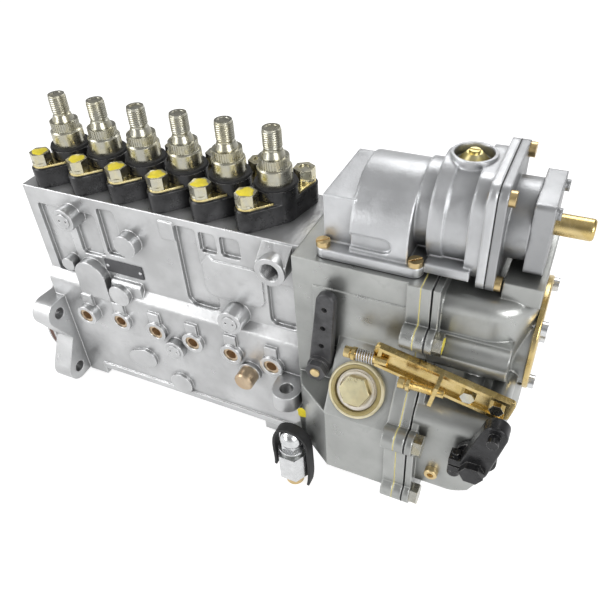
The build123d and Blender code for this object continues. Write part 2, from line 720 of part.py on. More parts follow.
        Cylinder(CAP_PLUG_R - 2, 8, align=BASE, mode=Mode.SUBTRACT)
    with Locations(toward_front(INLET_X, INLET_FACE_Y + INLET_DEPTH, INLET_Z)):
        Cylinder(INLET_R, INLET_DEPTH, align=BASE, mode=Mode.SUBTRACT)
    with Locations((LUG_X, LUG_Y, LUG_TOP - LUG_THICK)):
        Cylinder(LUG_HOLE_R, LUG_THICK, align=BASE, mode=Mode.SUBTRACT)
finish(pump_housing, "pump_housing")

# Screws that guide the tappets, each with a blind socket
with BuildPart() as tappet_guide_screws:
    for x, face in zip(GUIDE_PLACES, GUIDE_FACES):
        with Locations(toward_front(x, face + GUIDE_DEPTH, GUIDE_ROW_Z)):
            Cylinder(GUIDE_SCREW_R, GUIDE_DEPTH - 1, align=BASE)
        with Locations(toward_front(x, face + GUIDE_DEPTH - 3, GUIDE_ROW_Z)):
            Cylinder(GUIDE_BORE_R, GUIDE_DEPTH - 3, align=BASE, mode=Mode.SUBTRACT)
finish(tappet_guide_screws, "tappet_guide_screws")

# Flush plugs of the front bosses
with BuildPart() as blanking_plugs:
    for x, z, radius, face in PLUG_BOSSES:
        with Locations(toward_front(x, face + 8, z)):
            Cylinder(PLUG_R, 8 + PLUG_PROUD, align=BASE)
        with Locations(toward_front(x, face + 2, z)):
            with PolarLocations(PLUG_R / 2, 2):
                Cylinder(0.9, 4, align=BASE, mode=Mode.SUBTRACT)
finish(blanking_plugs, "blanking_plugs")

# Cap plug low on the front wall
with BuildPart() as cap_plug:
    with Locations(toward_front(CAP_PLUG_X, -LOWER_HALF + 4, CAP_PLUG_Z)):
        Cylinder(CAP_PLUG_R - 2, 8, align=BASE)
    with Locations(toward_front(CAP_PLUG_X, -LOWER_HALF - 4, CAP_PLUG_Z)):
        Cylinder(CAP_PLUG_R, -LOWER_HALF - 4 - CAP_PLUG_FACE_Y, align=BASE)
    chamfer(cap_plug.faces().sort_by(Axis.Y)[0].edges(), 1.2)
finish(cap_plug, "cap_plug")

# Bare type plate
with BuildPart() as type_plate:
    with BuildSketch(toward_front(PLATE_X, -UPPER_HALF, PLATE_Z)):
        RectangleRounded(PLATE_LENGTH, PLATE_HEIGHT, 1.0)
    extrude(amount=PLATE_THICK)
finish(type_plate, "type_plate")

# Rings of the drive end: the pilot's seal ring and the shaft seal
with BuildPart() as drive_end_seals:
    groove_middle = -PILOT_LENGTH / 2
    with BuildSketch(Plane.YZ.offset(groove_middle - PILOT_GROOVE_WIDTH / 2 + 0.2)):
        Circle(PILOT_R)
        Circle(PILOT_R - PILOT_GROOVE, mode=Mode.SUBTRACT)
    extrude(amount=PILOT_GROOVE_WIDTH - 0.4)
    with BuildSketch(Plane.YZ.offset(0)):
        Circle(BEARING_R)
        Circle(SHAFT_R + RUNNING, mode=Mode.SUBTRACT)
    extrude(amount=7)
finish(drive_end_seals, "drive_end_seals")

# Camshaft with its six cams, drive taper and governor end
with BuildPart() as camshaft:
    drive_tip = -PILOT_LENGTH - TAPER_LENGTH - SHAFT_THREAD_LENGTH
    with BuildSketch(Plane.XZ):
        with BuildLine():
            Polyline(
                (drive_tip, 0),
                (drive_tip, SHAFT_THREAD_R),
                (-PILOT_LENGTH - TAPER_LENGTH, SHAFT_THREAD_R),
                (-PILOT_LENGTH - TAPER_LENGTH, TAPER_SMALL_R),
                (-PILOT_LENGTH, TAPER_BIG_R),
                (-PILOT_LENGTH, SHAFT_R),
                (DRIVE_END_X + 4, SHAFT_R),
                (DRIVE_END_X + 4, JOURNAL_R),
                (DRIVE_END_X + 4 + BEARING_WIDTH, JOURNAL_R),
                (DRIVE_END_X + 4 + BEARING_WIDTH, SHAFT_R),
                (BODY_END_X - GOVERNOR_BEARING_WIDTH, SHAFT_R),
                (BODY_END_X - GOVERNOR_BEARING_WIDTH, JOURNAL_R),
                (BODY_END_X, JOURNAL_R),
                (BODY_END_X, GOVERNOR_SHAFT_R),
                (SHAFT_END_X, GOVERNOR_SHAFT_R),
                (SHAFT_END_X, 0),
                close=True,
            )
        make_face()
    revolve(axis=Axis.X)
    for x, angle in zip(ELEMENTS, LOBE_ANGLES):
        with BuildSketch(along_x(x - CAM_WIDTH / 2)):
            Circle(CAM_BASE_R)
            with PolarLocations(CAM_TOP_R - CAM_NOSE_R, 1, start_angle=angle):
                Circle(CAM_NOSE_R)
            make_hull()
        extrude(amount=CAM_WIDTH)
finish(camshaft, "camshaft")

# Camshaft bearings
with BuildPart() as camshaft_bearings:
    for x, width in (
        (DRIVE_END_X + 4, BEARING_WIDTH),
        (BODY_END_X - GOVERNOR_BEARING_WIDTH, GOVERNOR_BEARING_WIDTH),
    ):
        with BuildSketch(Plane.YZ.offset(x)):
            Circle(BEARING_R)
            Circle(JOURNAL_R + RUNNING, mode=Mode.SUBTRACT)
        extrude(amount=width)
finish(camshaft_bearings, "camshaft_bearings")

# Nut on the drive taper
with BuildPart() as drive_nut:
    with BuildSketch(Plane.YZ.offset(-PILOT_LENGTH - TAPER_LENGTH - DRIVE_NUT_HEIGHT - 1)):
        RegularPolygon(DRIVE_NUT_FLATS / 2, 6, major_radius=False)
        Circle(SHAFT_THREAD_R, mode=Mode.SUBTRACT)
    extrude(amount=DRIVE_NUT_HEIGHT)
finish(drive_nut, "drive_nut")

# Tappets with a slot for the roller
with BuildPart() as tappets:
    for x in ELEMENTS:
        with Locations((x, 0, TAPPET_BOTTOM)):
            Cylinder(TAPPET_R, TAPPET_TOP - TAPPET_BOTTOM, align=BASE)
        with Locations((x, 0, TAPPET_BOTTOM)):
            Box(ROLLER_WIDTH + FREE_GAP, 2 * TAPPET_R, TAPPET_TOP - TAPPET_BOTTOM - 4, align=BASE, mode=Mode.SUBTRACT)
        with Locations(along_x(x - TAPPET_R, 0, ROLLER_Z)):
            Cylinder(ROLLER_PIN_R, 2 * TAPPET_R, align=BASE, mode=Mode.SUBTRACT)
finish(tappets, "tappets")

# Rollers and their pins
with BuildPart() as tappet_rollers:
    for x in ELEMENTS:
        with BuildSketch(along_x(x - ROLLER_WIDTH / 2, 0, ROLLER_Z)):
            Circle(ROLLER_R)
            Circle(ROLLER_PIN_R + RUNNING, mode=Mode.SUBTRACT)
        extrude(amount=ROLLER_WIDTH)
    for x in ELEMENTS:
        pin_half = math.sqrt(TAPPET_R ** 2 - ROLLER_PIN_R ** 2) - 0.2
        with Locations(along_x(x - pin_half, 0, ROLLER_Z)):
            Cylinder(ROLLER_PIN_R, 2 * pin_half, align=BASE)
finish(tappet_rollers, "tappet_rollers")

# Plunger springs with their upper seats
with BuildPart() as plunger_springs:
    for x in ELEMENTS:
        turns = 5
        spring_bottom = TAPPET_TOP + PLUNGER_FOOT_HEIGHT + 2 * SEAT_GAP
        pitch = (STEP_Z - spring_bottom - SPRING_WIRE / 2) / turns
        with BuildSketch(Plane.XZ.offset(0)):
            for turn in range(turns):
                with Locations((x + (SPRING_R + SPRING_BORE_R) / 2, spring_bottom + pitch * (turn + 0.5))):
                    Rectangle(SPRING_R - SPRING_BORE_R, SPRING_WIRE)
            with Locations((x + (SPRING_BORE_R + 0.4), (spring_bottom + STEP_Z) / 2)):
                Rectangle(0.8, STEP_Z - spring_bottom)
        revolve(axis=Axis((x, 0, 0), (0, 0, 1)))
finish(plunger_springs, "plunger_springs")

# Plungers with their feet
with BuildPart() as plungers:
    for x in ELEMENTS:
        with Locations((x, 0, TAPPET_TOP + SEAT_GAP)):
            Cylinder(PLUNGER_FOOT_R, PLUNGER_FOOT_HEIGHT, align=BASE)
            Cylinder(PLUNGER_R, PLUNGER_TOP - TAPPET_TOP - SEAT_GAP, align=BASE)
finish(plungers, "plungers")

# Barrels: head in the flange bushing, neck inside the control sleeve
with BuildPart() as barrels:
    for x in ELEMENTS:
        with BuildSketch(Plane.XZ):
            with BuildLine():
                Polyline(
                    (x + PLUNGER_R + RUNNING, STEP_Z + SEAT_RING),
                    (x + ELEMENT_BORE_R, STEP_Z + SEAT_RING),
                    (x + ELEMENT_BORE_R, STEP_Z),
                    (x + PLUNGER_FOOT_R, STEP_Z),
                    (x + PLUNGER_FOOT_R, STEP_Z - 1),
                    (x + PLUNGER_R + RUNNING, STEP_Z - 1),
                    close=True,
                )
            make_face()
            with BuildLine():
                Polyline(
                    (x + PLUNGER_R + RUNNING, STEP_Z + SEAT_RING),
                    (x + BARREL_NECK_R, STEP_Z + SEAT_RING),
                    (x + BARREL_NECK_R, BARREL_NECK_TOP),
                    (x + BARREL_R, BARREL_NECK_TOP),
                    (x + BARREL_R, HOLDER_SEAT),
                    (x + HOLDER_PASSAGE_R, HOLDER_SEAT),
                    (x + HOLDER_PASSAGE_R, PLUNGER_TOP + 4),
                    (x + PLUNGER_R + RUNNING, PLUNGER_TOP + 4),
                    close=True,
                )
            make_face()
        revolve(axis=Axis((x, 0, 0), (0, 0, 1)))
finish(barrels, "barrels")

# Control sleeves, each with an arm whose pin stands in a notch of the rack
for number, x in enumerate(ELEMENTS, start=1):
    with BuildPart() as control_sleeve:
        with BuildSketch(Plane.XY.offset(SLEEVE_BOTTOM)):
            with Locations((x, 0)):
                Circle(SLEEVE_R)
                Circle(BARREL_NECK_R + RUNNING, mode=Mode.SUBTRACT)
        extrude(amount=SLEEVE_TOP - SLEEVE_BOTTOM)
        with BuildSketch(Plane.XY.offset(ARM_BOTTOM)):
            with Locations((x, (RACK_Y - SLEEVE_R + 1) / 2)):
                Rectangle(ARM_WIDTH, -RACK_Y - SLEEVE_R + 1)
            with Locations((x, RACK_Y)):
                Circle(ARM_PIN_R)
        extrude(amount=ARM_HEIGHT)
    finish(control_sleeve, "control_sleeve_" + str(number))

# Control rack with a notch for each sleeve and a pin for the fulcrum lever
with BuildPart() as control_rack:
    with Locations((RACK_START_X, RACK_Y, RACK_BOTTOM)):
        Box(RACK_END_X - RACK_START_X, RACK_WIDTH, RACK_HEIGHT, align=(Align.MIN, Align.CENTER, Align.MIN))
    with Locations(*[(x, RACK_Y, NOTCH_FLOOR) for x in ELEMENTS]):
        Box(2 * ARM_PIN_R + 2 * FREE_GAP, RACK_WIDTH, RACK_HEIGHT, align=BASE, mode=Mode.SUBTRACT)
    with Locations(toward_front(FULCRUM_X, RACK_Y + RACK_WIDTH / 2 + 7, RACK_BOTTOM + RACK_HEIGHT / 2)):
        Cylinder(RACK_PIN_R, 8, align=BASE)
finish(control_rack, "control_rack")

# Flange bushings: two ears, collar and spigot
with BuildPart() as delivery_bushings:
    for x in ELEMENTS:
        with BuildSketch(Plane.XY.offset(BODY_TOP)):
            with Locations((x, 0)):
                Circle(BUSHING_R)
            with Locations((x - STUD_X, -STUD_Y), (x + STUD_X, STUD_Y)):
                Circle(EAR_R)
            make_hull()
        extrude(amount=EAR_HEIGHT)
    chamfer(delivery_bushings.faces().group_by(Axis.Z)[-1].edges(), 1.0)
    with Locations(*[(x, 0, BODY_TOP) for x in ELEMENTS]):
        Cylinder(COLLAR_R, COLLAR_TOP - BODY_TOP, align=BASE)
    with Locations(*[(x, 0, BODY_TOP - SPIGOT_DEPTH) for x in ELEMENTS]):
        Cylinder(ELEMENT_BORE_R - RUNNING, SPIGOT_DEPTH, align=BASE)
    with Locations(*[(x, 0, HOLDER_SEAT) for x in ELEMENTS]):
        Cylinder(HOLDER_R + SEAT_GAP, COLLAR_TOP - HOLDER_SEAT, align=BASE, mode=Mode.SUBTRACT)
    with Locations(*[(x, 0, BODY_TOP - SPIGOT_DEPTH) for x in ELEMENTS]):
        Cylinder(BARREL_R, HOLDER_SEAT - BODY_TOP + SPIGOT_DEPTH, align=BASE, mode=Mode.SUBTRACT)
    with Locations(*[(x, y, BODY_TOP) for x, y in STUDS]):
        Cylinder(STUD_R + SEAT_GAP, EAR_HEIGHT, align=BASE, mode=Mode.SUBTRACT)
finish(delivery_bushings, "delivery_bushings")

SHIM_Z = BODY_TOP + EAR_HEIGHT
NUT_Z = SHIM_Z + SHIM_THICK

# Studs, shims and nuts that hold the bushings down
with BuildPart() as bushing_studs:
    with Locations(*[(x, y, BODY_TOP - STUD_DEPTH) for x, y in STUDS]):
        Cylinder(STUD_R, NUT_Z + NUT_HEIGHT - 1 - BODY_TOP + STUD_DEPTH, align=BASE)
finish(bushing_studs, "bushing_studs")

with BuildPart() as bushing_shims:
    for x in ELEMENTS:
        with BuildSketch(Plane.XY.offset(SHIM_Z)):
            with Locations((x, 0)):
                Circle(BUSHING_R - SHIM_INSET - 1)
            with Locations((x - STUD_X, -STUD_Y), (x + STUD_X, STUD_Y)):
                Circle(EAR_R - SHIM_INSET - 1)
            make_hull()
            with Locations((x - STUD_X, -STUD_Y), (x + STUD_X, STUD_Y)):
                Circle(STUD_R, mode=Mode.SUBTRACT)
            with Locations((x, 0)):
                Circle(COLLAR_R + SHIM_INSET, mode=Mode.SUBTRACT)
        extrude(amount=SHIM_THICK)
finish(bushing_shims, "bushing_shims")

with BuildPart() as bushing_nuts:
    with BuildSketch(Plane.XY.offset(NUT_Z)):
        with Locations(*STUDS):
            RegularPolygon(NUT_FLATS / 2, 6, major_radius=False, rotation=NUT_TURN)
    extrude(amount=NUT_HEIGHT)
    with Locations(*[(x, y, NUT_Z) for x, y in STUDS]):
        Cylinder(NUT_FLANGE_R, WASHER_THICK, align=BASE)
        Cylinder(STUD_R, NUT_HEIGHT, align=BASE, mode=Mode.SUBTRACT)
finish(bushing_nuts, "bushing_nuts")

# Seal ring between each holder and its collar
with BuildPart() as holder_seals:
    with BuildSketch(Plane.XY.offset(COLLAR_TOP)):
        with Locations(*[(x, 0) for x in ELEMENTS]):
            Circle(COLLAR_R - 0.8)
            Circle(HOLDER_R, mode=Mode.SUBTRACT)
    extrude(amount=1.8)
finish(holder_seals, "holder_seals")

# Delivery valve holders with a serrated collar, thread and cone seat
with BuildPart() as delivery_valve_holders:
    for x in ELEMENTS:
        with BuildSketch(Plane.XZ):
            with BuildLine():
                Polyline(
                    (x + VALVE_ROOM_R, HOLDER_SEAT),
                    (x + HOLDER_R, HOLDER_SEAT),
                    (x + HOLDER_R, HOLDER_SHOULDER - 1),
                    (x + HOLDER_R - 1, HOLDER_SHOULDER),
                    (x + HOLDER_NECK_R, HOLDER_SHOULDER),
                    (x + HOLDER_NECK_R, HOLDER_NECK_BASE),
                    (x + HOLDER_THREAD_R + 0.5, HOLDER_NECK_TOP),
                    (x + HOLDER_THREAD_R, HOLDER_NECK_TOP + 0.5),
                    (x + HOLDER_THREAD_R, HOLDER_TOP),
                    (x + HOLDER_CONE_R, HOLDER_TOP),
                    (x + HOLDER_PASSAGE_R, HOLDER_TOP - HOLDER_CONE_R),
                    (x + HOLDER_PASSAGE_R, VALVE_ROOM_TOP),
                    (x + VALVE_ROOM_R, VALVE_ROOM_TOP),
                    close=True,
                )
            make_face()
        revolve(axis=Axis((x, 0, 0), (0, 0, 1)))
        with BuildSketch(Plane.XY.offset(HOLDER_SHOULDER)):
            with Locations((x, 0)):
                Circle(SERRATION_R)
                with PolarLocations(SERRATION_R, SERRATION_COUNT):
                    Rectangle(SERRATION_DEPTH * 2, SERRATION_WIDTH, mode=Mode.SUBTRACT)
                Circle(HOLDER_NECK_R - 1, mode=Mode.SUBTRACT)
        extrude(amount=SERRATION_TOP - HOLDER_SHOULDER)
finish(delivery_valve_holders, "delivery_valve_holders")

# Delivery valves inside the holders
with BuildPart() as delivery_valves:
    for x in ELEMENTS:
        with Locations((x, 0, HOLDER_SEAT)):
            Cylinder(VALVE_R, 12, align=BASE)
            Cylinder(3.0, VALVE_ROOM_TOP - HOLDER_SEAT - SEAT_GAP, align=BASE)
finish(delivery_valves, "delivery_valves")

GOV_FRONT_X = BODY_END_X
ROOM_HALF = GOV_HALF - GOV_WALL
ROOM_BOTTOM = GOV_BOTTOM + GOV_WALL - 1.5


def governor_outline(x, proud):
    """Outline of the governor's joint faces, grown by a lip, with a boss round each bolt."""
    with BuildSketch(Plane.YZ.offset(x)) as outline:
        with BuildLine():
            Polyline(
                (-GOV_HALF - proud, GOV_TOP),
                (-GOV_HALF - proud, SLOPE_TOP_Z),
                (BULGE_Y - proud, LEDGE_Z),
                (BULGE_Y - proud, BULGE_BOTTOM),
                (KEEL_Y, GOV_BOTTOM),
                (GOV_HALF + proud, GOV_BOTTOM),
                (GOV_HALF + proud, GOV_TOP),
                close=True,
            )
        make_face()
        with Locations(*GOVERNOR_BOLTS):
            Circle(BOLT_BOSS_R)
    return outline.sketch


def governor_room(x):
    """Section of the room inside the governor."""
    with BuildSketch(Plane.YZ.offset(x)) as room:
        with BuildLine():
            Polyline(
                (-ROOM_HALF, GOV_TOP - GOV_WALL),
                (-ROOM_HALF, SLOPE_TOP_Z - 4),
                (-ROOM_HALF - 20, LEDGE_Z - 2),
                (-ROOM_HALF - 20, BULGE_BOTTOM + GOV_WALL),
                (-ROOM_HALF, ROOM_BOTTOM),
                (ROOM_HALF, ROOM_BOTTOM),
                (ROOM_HALF, GOV_TOP - GOV_WALL),
                close=True,
            )
        make_face()
    return room.sketch


def bolt_holes(x):
    """Section of the bolt holes of the governor's joint."""
    with BuildSketch(Plane.YZ.offset(x)) as holes:
        with Locations(*GOVERNOR_BOLTS):
            Circle(BOLT_R)
    return holes.sketch


# Governor front housing: box, ledge, sloping face with the cap's seat, rear flange
with BuildPart() as governor_front_housing:
    with Locations((GOV_FRONT_X, 0, GOV_BOTTOM)):
        Box(FRONT_LENGTH, 2 * GOV_HALF, GOV_TOP - GOV_BOTTOM, align=(Align.MIN, Align.CENTER, Align.MIN))
    with BuildSketch(Plane.XY.offset(BULGE_BOTTOM)):
        with BuildLine():
            Polyline(
                (GOV_FRONT_X, -GOV_HALF + 1),
                (GOV_FRONT_X + 7, KEEL_Y - 6),
                (BULGE_X, BULGE_Y),
                (GASKET_X, BULGE_Y),
                (GASKET_X, -GOV_HALF + 1),
                close=True,
            )
        make_face()
    extrude(amount=LEDGE_Z - BULGE_BOTTOM)
    with BuildSketch(Plane.YZ.offset(SLOPE_X)):
        with BuildLine():
            Polyline((-GOV_HALF, SLOPE_TOP_Z), (BULGE_Y, LEDGE_Z), (-GOV_HALF, LEDGE_Z), close=True)
        make_face()
    extrude(amount=GASKET_X - SLOPE_X)
    with BuildSketch(Plane.YZ.offset(BULGE_X)):
        with BuildLine():
            Polyline(
                (BULGE_Y, BULGE_BOTTOM),
                (KEEL_Y, GOV_BOTTOM),
                (-GOV_HALF, GOV_BOTTOM),
                (-GOV_HALF, BULGE_BOTTOM),
                close=True,
            )
        make_face()
    extrude(amount=GASKET_X - BULGE_X)
    extrude(governor_outline(GASKET_X - FRONT_FLANGE, FLANGE_PROUD), amount=FRONT_FLANGE)
    # lug for the overflow fitting, and the front pad
    with Locations((GOV_FRONT_X + 5, HANGER_Y, HANGER_Z)):
        Box(14, GOV_WALL - GOV_HALF - HANGER_Y, 34, align=(Align.MIN, Align.MIN, Align.MIN))
    with BuildSketch(Plane.XY.offset(HANGER_Z)):
        with Locations((FITTING_X, HANGER_EYE_Y), (FITTING_X + 1, HANGER_Y + 4)):
            Circle(9)
        make_hull()
    extrude(amount=HANGER_THICK)
    with Locations((GOV_FRONT_X + 14, -GOV_HALF, SLOPE_TOP_Z - 12)):
        Box(FRONT_LENGTH - 14, 1.6, 48, align=(Align.MIN, Align.CENTER, Align.MIN))
    with Locations(toward_front(STOP_X, -GOV_HALF + 1, STOP_Z)):
        Cylinder(STOP_HUB_R, -GOV_HALF + 1 - STOP_FACE_Y - 1, align=BASE)
    # rooms and bores
    with BuildSketch(Plane.YZ.offset(GOV_FRONT_X + GOV_WALL + 1)):
        with Locations((0, (GOV_TOP + GOV_BOTTOM - 1.5) / 2)):
            Rectangle(2 * (GOV_HALF - GOV_WALL), GOV_TOP - GOV_BOTTOM - 2 * GOV_WALL + 1.5)
    extrude(amount=FRONT_LENGTH - GOV_WALL - 1, mode=Mode.SUBTRACT)
    extrude(governor_room(BULGE_X + 19), amount=GASKET_X - BULGE_X - 19, mode=Mode.SUBTRACT)
    with Locations(along_x(GOV_FRONT_X)):
        Cylinder(GOVERNOR_SHAFT_R + 6, GOV_WALL + 2, align=BASE, mode=Mode.SUBTRACT)
    with Locations((GOV_FRONT_X, RACK_Y, RACK_BOTTOM - SEAT_GAP)):
        Box(
            GOV_WALL + 2,
            RACK_WIDTH + 2 * SEAT_GAP,
            RACK_HEIGHT + 2 * SEAT_GAP,
            align=(Align.MIN, Align.CENTER, Align.MIN),
            mode=Mode.SUBTRACT,
        )
    with Locations(toward_front(STOP_X, -GOV_HALF + GOV_WALL, STOP_Z)):
        Cylinder(STOP_SHAFT_R + RUNNING, 2 * GOV_WALL + 4, align=BASE, mode=Mode.SUBTRACT)
    with Locations((FITTING_X, HANGER_EYE_Y, HANGER_Z)):
        Cylinder(FITTING_NECK_R, HANGER_THICK, align=BASE, mode=Mode.SUBTRACT)
    with Locations(toward_front(FULCRUM_X, GOV_HALF - 3, FULCRUM_Z)):
        Cylinder(FULCRUM_PIN_R, 2 * GOV_HALF - 6, align=BASE, mode=Mode.SUBTRACT)
    extrude(bolt_holes(GASKET_X - FRONT_FLANGE), amount=FRONT_FLANGE, mode=Mode.SUBTRACT)
finish(governor_front_housing, "governor_front_housing")

# Gaskets of the governor's joint and the ring between them
with BuildPart() as governor_gasket:
    extrude(governor_outline(GASKET_X, FLANGE_PROUD), amount=GASKET)
    extrude(governor_room(GASKET_X), amount=GASKET, mode=Mode.SUBTRACT)
    extrude(bolt_holes(GASKET_X), amount=GASKET, mode=Mode.SUBTRACT)
finish(governor_gasket, "governor_gasket")

with BuildPart() as governor_ring:
    extrude(governor_outline(RING_X, FLANGE_PROUD), amount=RING_LENGTH)
    extrude(governor_room(RING_X), amount=RING_LENGTH, mode=Mode.SUBTRACT)
    extrude(bolt_holes(RING_X), amount=RING_LENGTH, mode=Mode.SUBTRACT)
finish(governor_ring, "governor_ring")

with BuildPart() as rear_gasket:
    extrude(governor_outline(BLACK_GASKET_X, 0), amount=BLACK_GASKET)
    extrude(governor_room(BLACK_GASKET_X), amount=BLACK_GASKET, mode=Mode.SUBTRACT)
    extrude(bolt_holes(BLACK_GASKET_X), amount=BLACK_GASKET, mode=Mode.SUBTRACT)
finish(rear_gasket, "rear_gasket")

# Governor rear housing
with BuildPart() as governor_rear_housing:
    with BuildSketch(Plane.XY.offset(GOV_BOTTOM)) as rear_plan:
        with Locations((REAR_X, 0)):
            Rectangle(REAR_END_X - REAR_X, 2 * REAR_HALF, align=(Align.MIN, Align.CENTER))
        fillet(rear_plan.vertices().group_by(Axis.X)[-1], REAR_CORNER_R)
    extrude(amount=REAR_TOP - GOV_BOTTOM)
    fillet(governor_rear_housing.faces().sort_by(Axis.Z)[-1].edges().filter_by(Axis.X), REAR_TOP_R)
    with Locations(along_x(REAR_X, REAR_BELLY_Y, REAR_BELLY_Z)):
        Cylinder(REAR_BELLY_R, REAR_BELLY_END - REAR_X, align=BASE)
    with Locations(along_x(REAR_X, CHAMBER_Y, CHAMBER_Z)):
        Box(CHAMBER_WIDTH, CHAMBER_HEIGHT, REAR_CHAMBER_END - REAR_X, align=BASE)
    chamber_edges = [
        edge
        for edge in governor_rear_housing.edges().filter_by(Axis.X)
        if edge.center().Y < CHAMBER_Y - CHAMBER_WIDTH / 2 + 0.01
    ]
    fillet(chamber_edges, CHAMBER_CORNER_R)
    with Locations((HUMP_X, 0, REAR_TOP - 2)):
        Box(REAR_END_X - HUMP_X, 2 * HUMP_HALF, HUMP_TOP - REAR_TOP + 2, align=(Align.MIN, Align.CENTER, Align.MIN))
    with Locations(along_x(REAR_END_X - END_BOSS_LENGTH, 0, END_COVER_Z)):
        Cylinder(END_BOSS_R, END_BOSS_LENGTH, align=BASE)
    with BuildSketch(Plane.XZ.offset(-2 * REAR_HALF)):
        with BuildLine():
            Polyline(
                (REAR_X, GOV_BOTTOM),
                (REAR_X + 8, GOV_BOTTOM),
                (REAR_X + 8, GOV_BOTTOM + 22),
                (REAR_CHAMBER_END - 7, 8),
                (REAR_END_X, 45),
                (REAR_END_X, HUMP_TOP),
                (REAR_X, HUMP_TOP),
                close=True,
            )
        make_face()
    extrude(amount=4 * REAR_HALF, mode=Mode.INTERSECT)
    extrude(governor_outline(REAR_X, FLANGE_PROUD), amount=REAR_FLANGE)
    for distance in BAR_BOLTS:
        with Locations(toward_front(*bar_point(distance, BAR_FOOT_Y))):
            Cylinder(BAR_BOSS_R, BAR_FOOT_Y - BAR_Y, align=BASE)
    # rooms and bores
    with BuildSketch(Plane.YZ.offset(REAR_X)):
        with Locations((0, (REAR_TOP + REAR_ROOM_BOTTOM - GOV_WALL) / 2)):
            Rectangle(2 * (REAR_HALF - GOV_WALL), REAR_TOP - REAR_ROOM_BOTTOM - GOV_WALL)
    extrude(amount=REAR_ROOM_END - REAR_X, mode=Mode.SUBTRACT)
    with Locations((REAR_X, 0, 0)):
        Box(
            REAR_LOW_ROOM,
            2 * (REAR_HALF - GOV_WALL),
            REAR_ROOM_BOTTOM + 1,
            align=(Align.MIN, Align.CENTER, Align.MIN),
            mode=Mode.SUBTRACT,
        )
    with Locations(along_x(REAR_ROOM_END - 1, 0, END_COVER_Z)):
        Cylinder(END_OPENING_R, REAR_END_X - REAR_ROOM_END + 1, align=BASE, mode=Mode.SUBTRACT)
    with Locations(along_x(REAR_END_X - END_SCREW_DEPTH, 0, END_COVER_Z)):
        with PolarLocations(END_SCREW_CIRCLE_R, 4, start_angle=45):
            Cylinder(SCREW_R, END_SCREW_DEPTH, align=BASE, mode=Mode.SUBTRACT)
    with Locations(toward_front(CONTROL_X, CONTROL_SHAFT_Y, CONTROL_Z)):
        Cylinder(CONTROL_SHAFT_R + RUNNING, -2 * CONTROL_SHAFT_Y, align=BASE, mode=Mode.SUBTRACT)
    for distance in BAR_BOLTS:
        with Locations(toward_front(*bar_point(distance, BAR_Y + BAR_BOLT_DEPTH))):
            Cylinder(BAR_BOLT_R, BAR_BOLT_DEPTH, align=BASE, mode=Mode.SUBTRACT)
    extrude(bolt_holes(REAR_X), amount=REAR_FLANGE, mode=Mode.SUBTRACT)
    with Locations(*[along_x(REAR_FACE_X, y, z) for y, z in GOVERNOR_BOLTS]):
        Cylinder(BOLT_POCKET_R, REAR_END_X - REAR_FACE_X, align=BASE, mode=Mode.SUBTRACT)
finish(governor_rear_housing, "governor_rear_housing")

# Round end cover
with BuildPart() as end_cover:
    with Locations(along_x(REAR_END_X, 0, END_COVER_Z)):
        Cylinder(END_COVER_R, END_COVER_THICK, align=BASE)
    fillet(end_cover.faces().sort_by(Axis.X)[-1].edges(), 1.0)
    with Locations(along_x(REAR_END_X - END_COVER_SPIGOT, 0, END_COVER_Z)):
        Cylinder(END_OPENING_R - RUNNING, END_COVER_SPIGOT, align=BASE)
    with Locations(along_x(REAR_END_X, 0, END_COVER_Z)):
        with PolarLocations(END_SCREW_CIRCLE_R, 4, start_angle=45):
            Cylinder(SCREW_R, END_COVER_THICK, align=BASE, mode=Mode.SUBTRACT)
finish(end_cover, "end_cover")

with BuildPart() as end_cover_screws:
    with Locations(along_x(REAR_END_X - END_SCREW_DEPTH, 0, END_COVER_Z)):
        with PolarLocations(END_SCREW_CIRCLE_R, 4, start_angle=45):
            Cylinder(SCREW_R, END_SCREW_DEPTH + END_COVER_THICK, align=BASE)
    with Locations(along_x(REAR_END_X + END_COVER_THICK, 0, END_COVER_Z)):
        with PolarLocations(END_SCREW_CIRCLE_R, 4, start_angle=45):
            Cylinder(SCREW_HEAD_R, SCREW_HEAD, align=BASE)
            Cylinder(SCREW_R, 2 * SCREW_HEAD, mode=Mode.SUBTRACT)
            Cylinder(SCREW_R, SCREW_HEAD / 2, align=BASE)
finish(end_cover_screws, "end_cover_screws")

# Hexagon bolts of the governor's joint and of the bracket bar
with BuildPart() as governor_bolts:
    with BuildSketch(Plane.YZ.offset(GASKET_X - FRONT_FLANGE)):
        with Locations(*GOVERNOR_BOLTS):
            Circle(BOLT_R)
    extrude(amount=REAR_FACE_X - GASKET_X + FRONT_FLANGE)
    with BuildSketch(Plane.YZ.offset(REAR_FACE_X)):
        with Locations(*GOVERNOR_BOLTS):
            RegularPolygon(BOLT_FLATS / 2, 6, major_radius=False)
    extrude(amount=BOLT_HEAD)
    for distance in BAR_BOLTS:
        with BuildSketch(toward_front(*bar_point(distance, BAR_Y + BAR_BOLT_DEPTH - 1))):
            Circle(BAR_BOLT_R)
        extrude(amount=BAR_BOLT_DEPTH - 1 + BAR_THICK)
        with BuildSketch(toward_front(*bar_point(distance, BAR_Y - BAR_THICK))):
            RegularPolygon(BAR_BOLT_FLATS / 2, 6, major_radius=False)
        extrude(amount=BAR_BOLT_HEAD)
finish(governor_bolts, "governor_bolts")

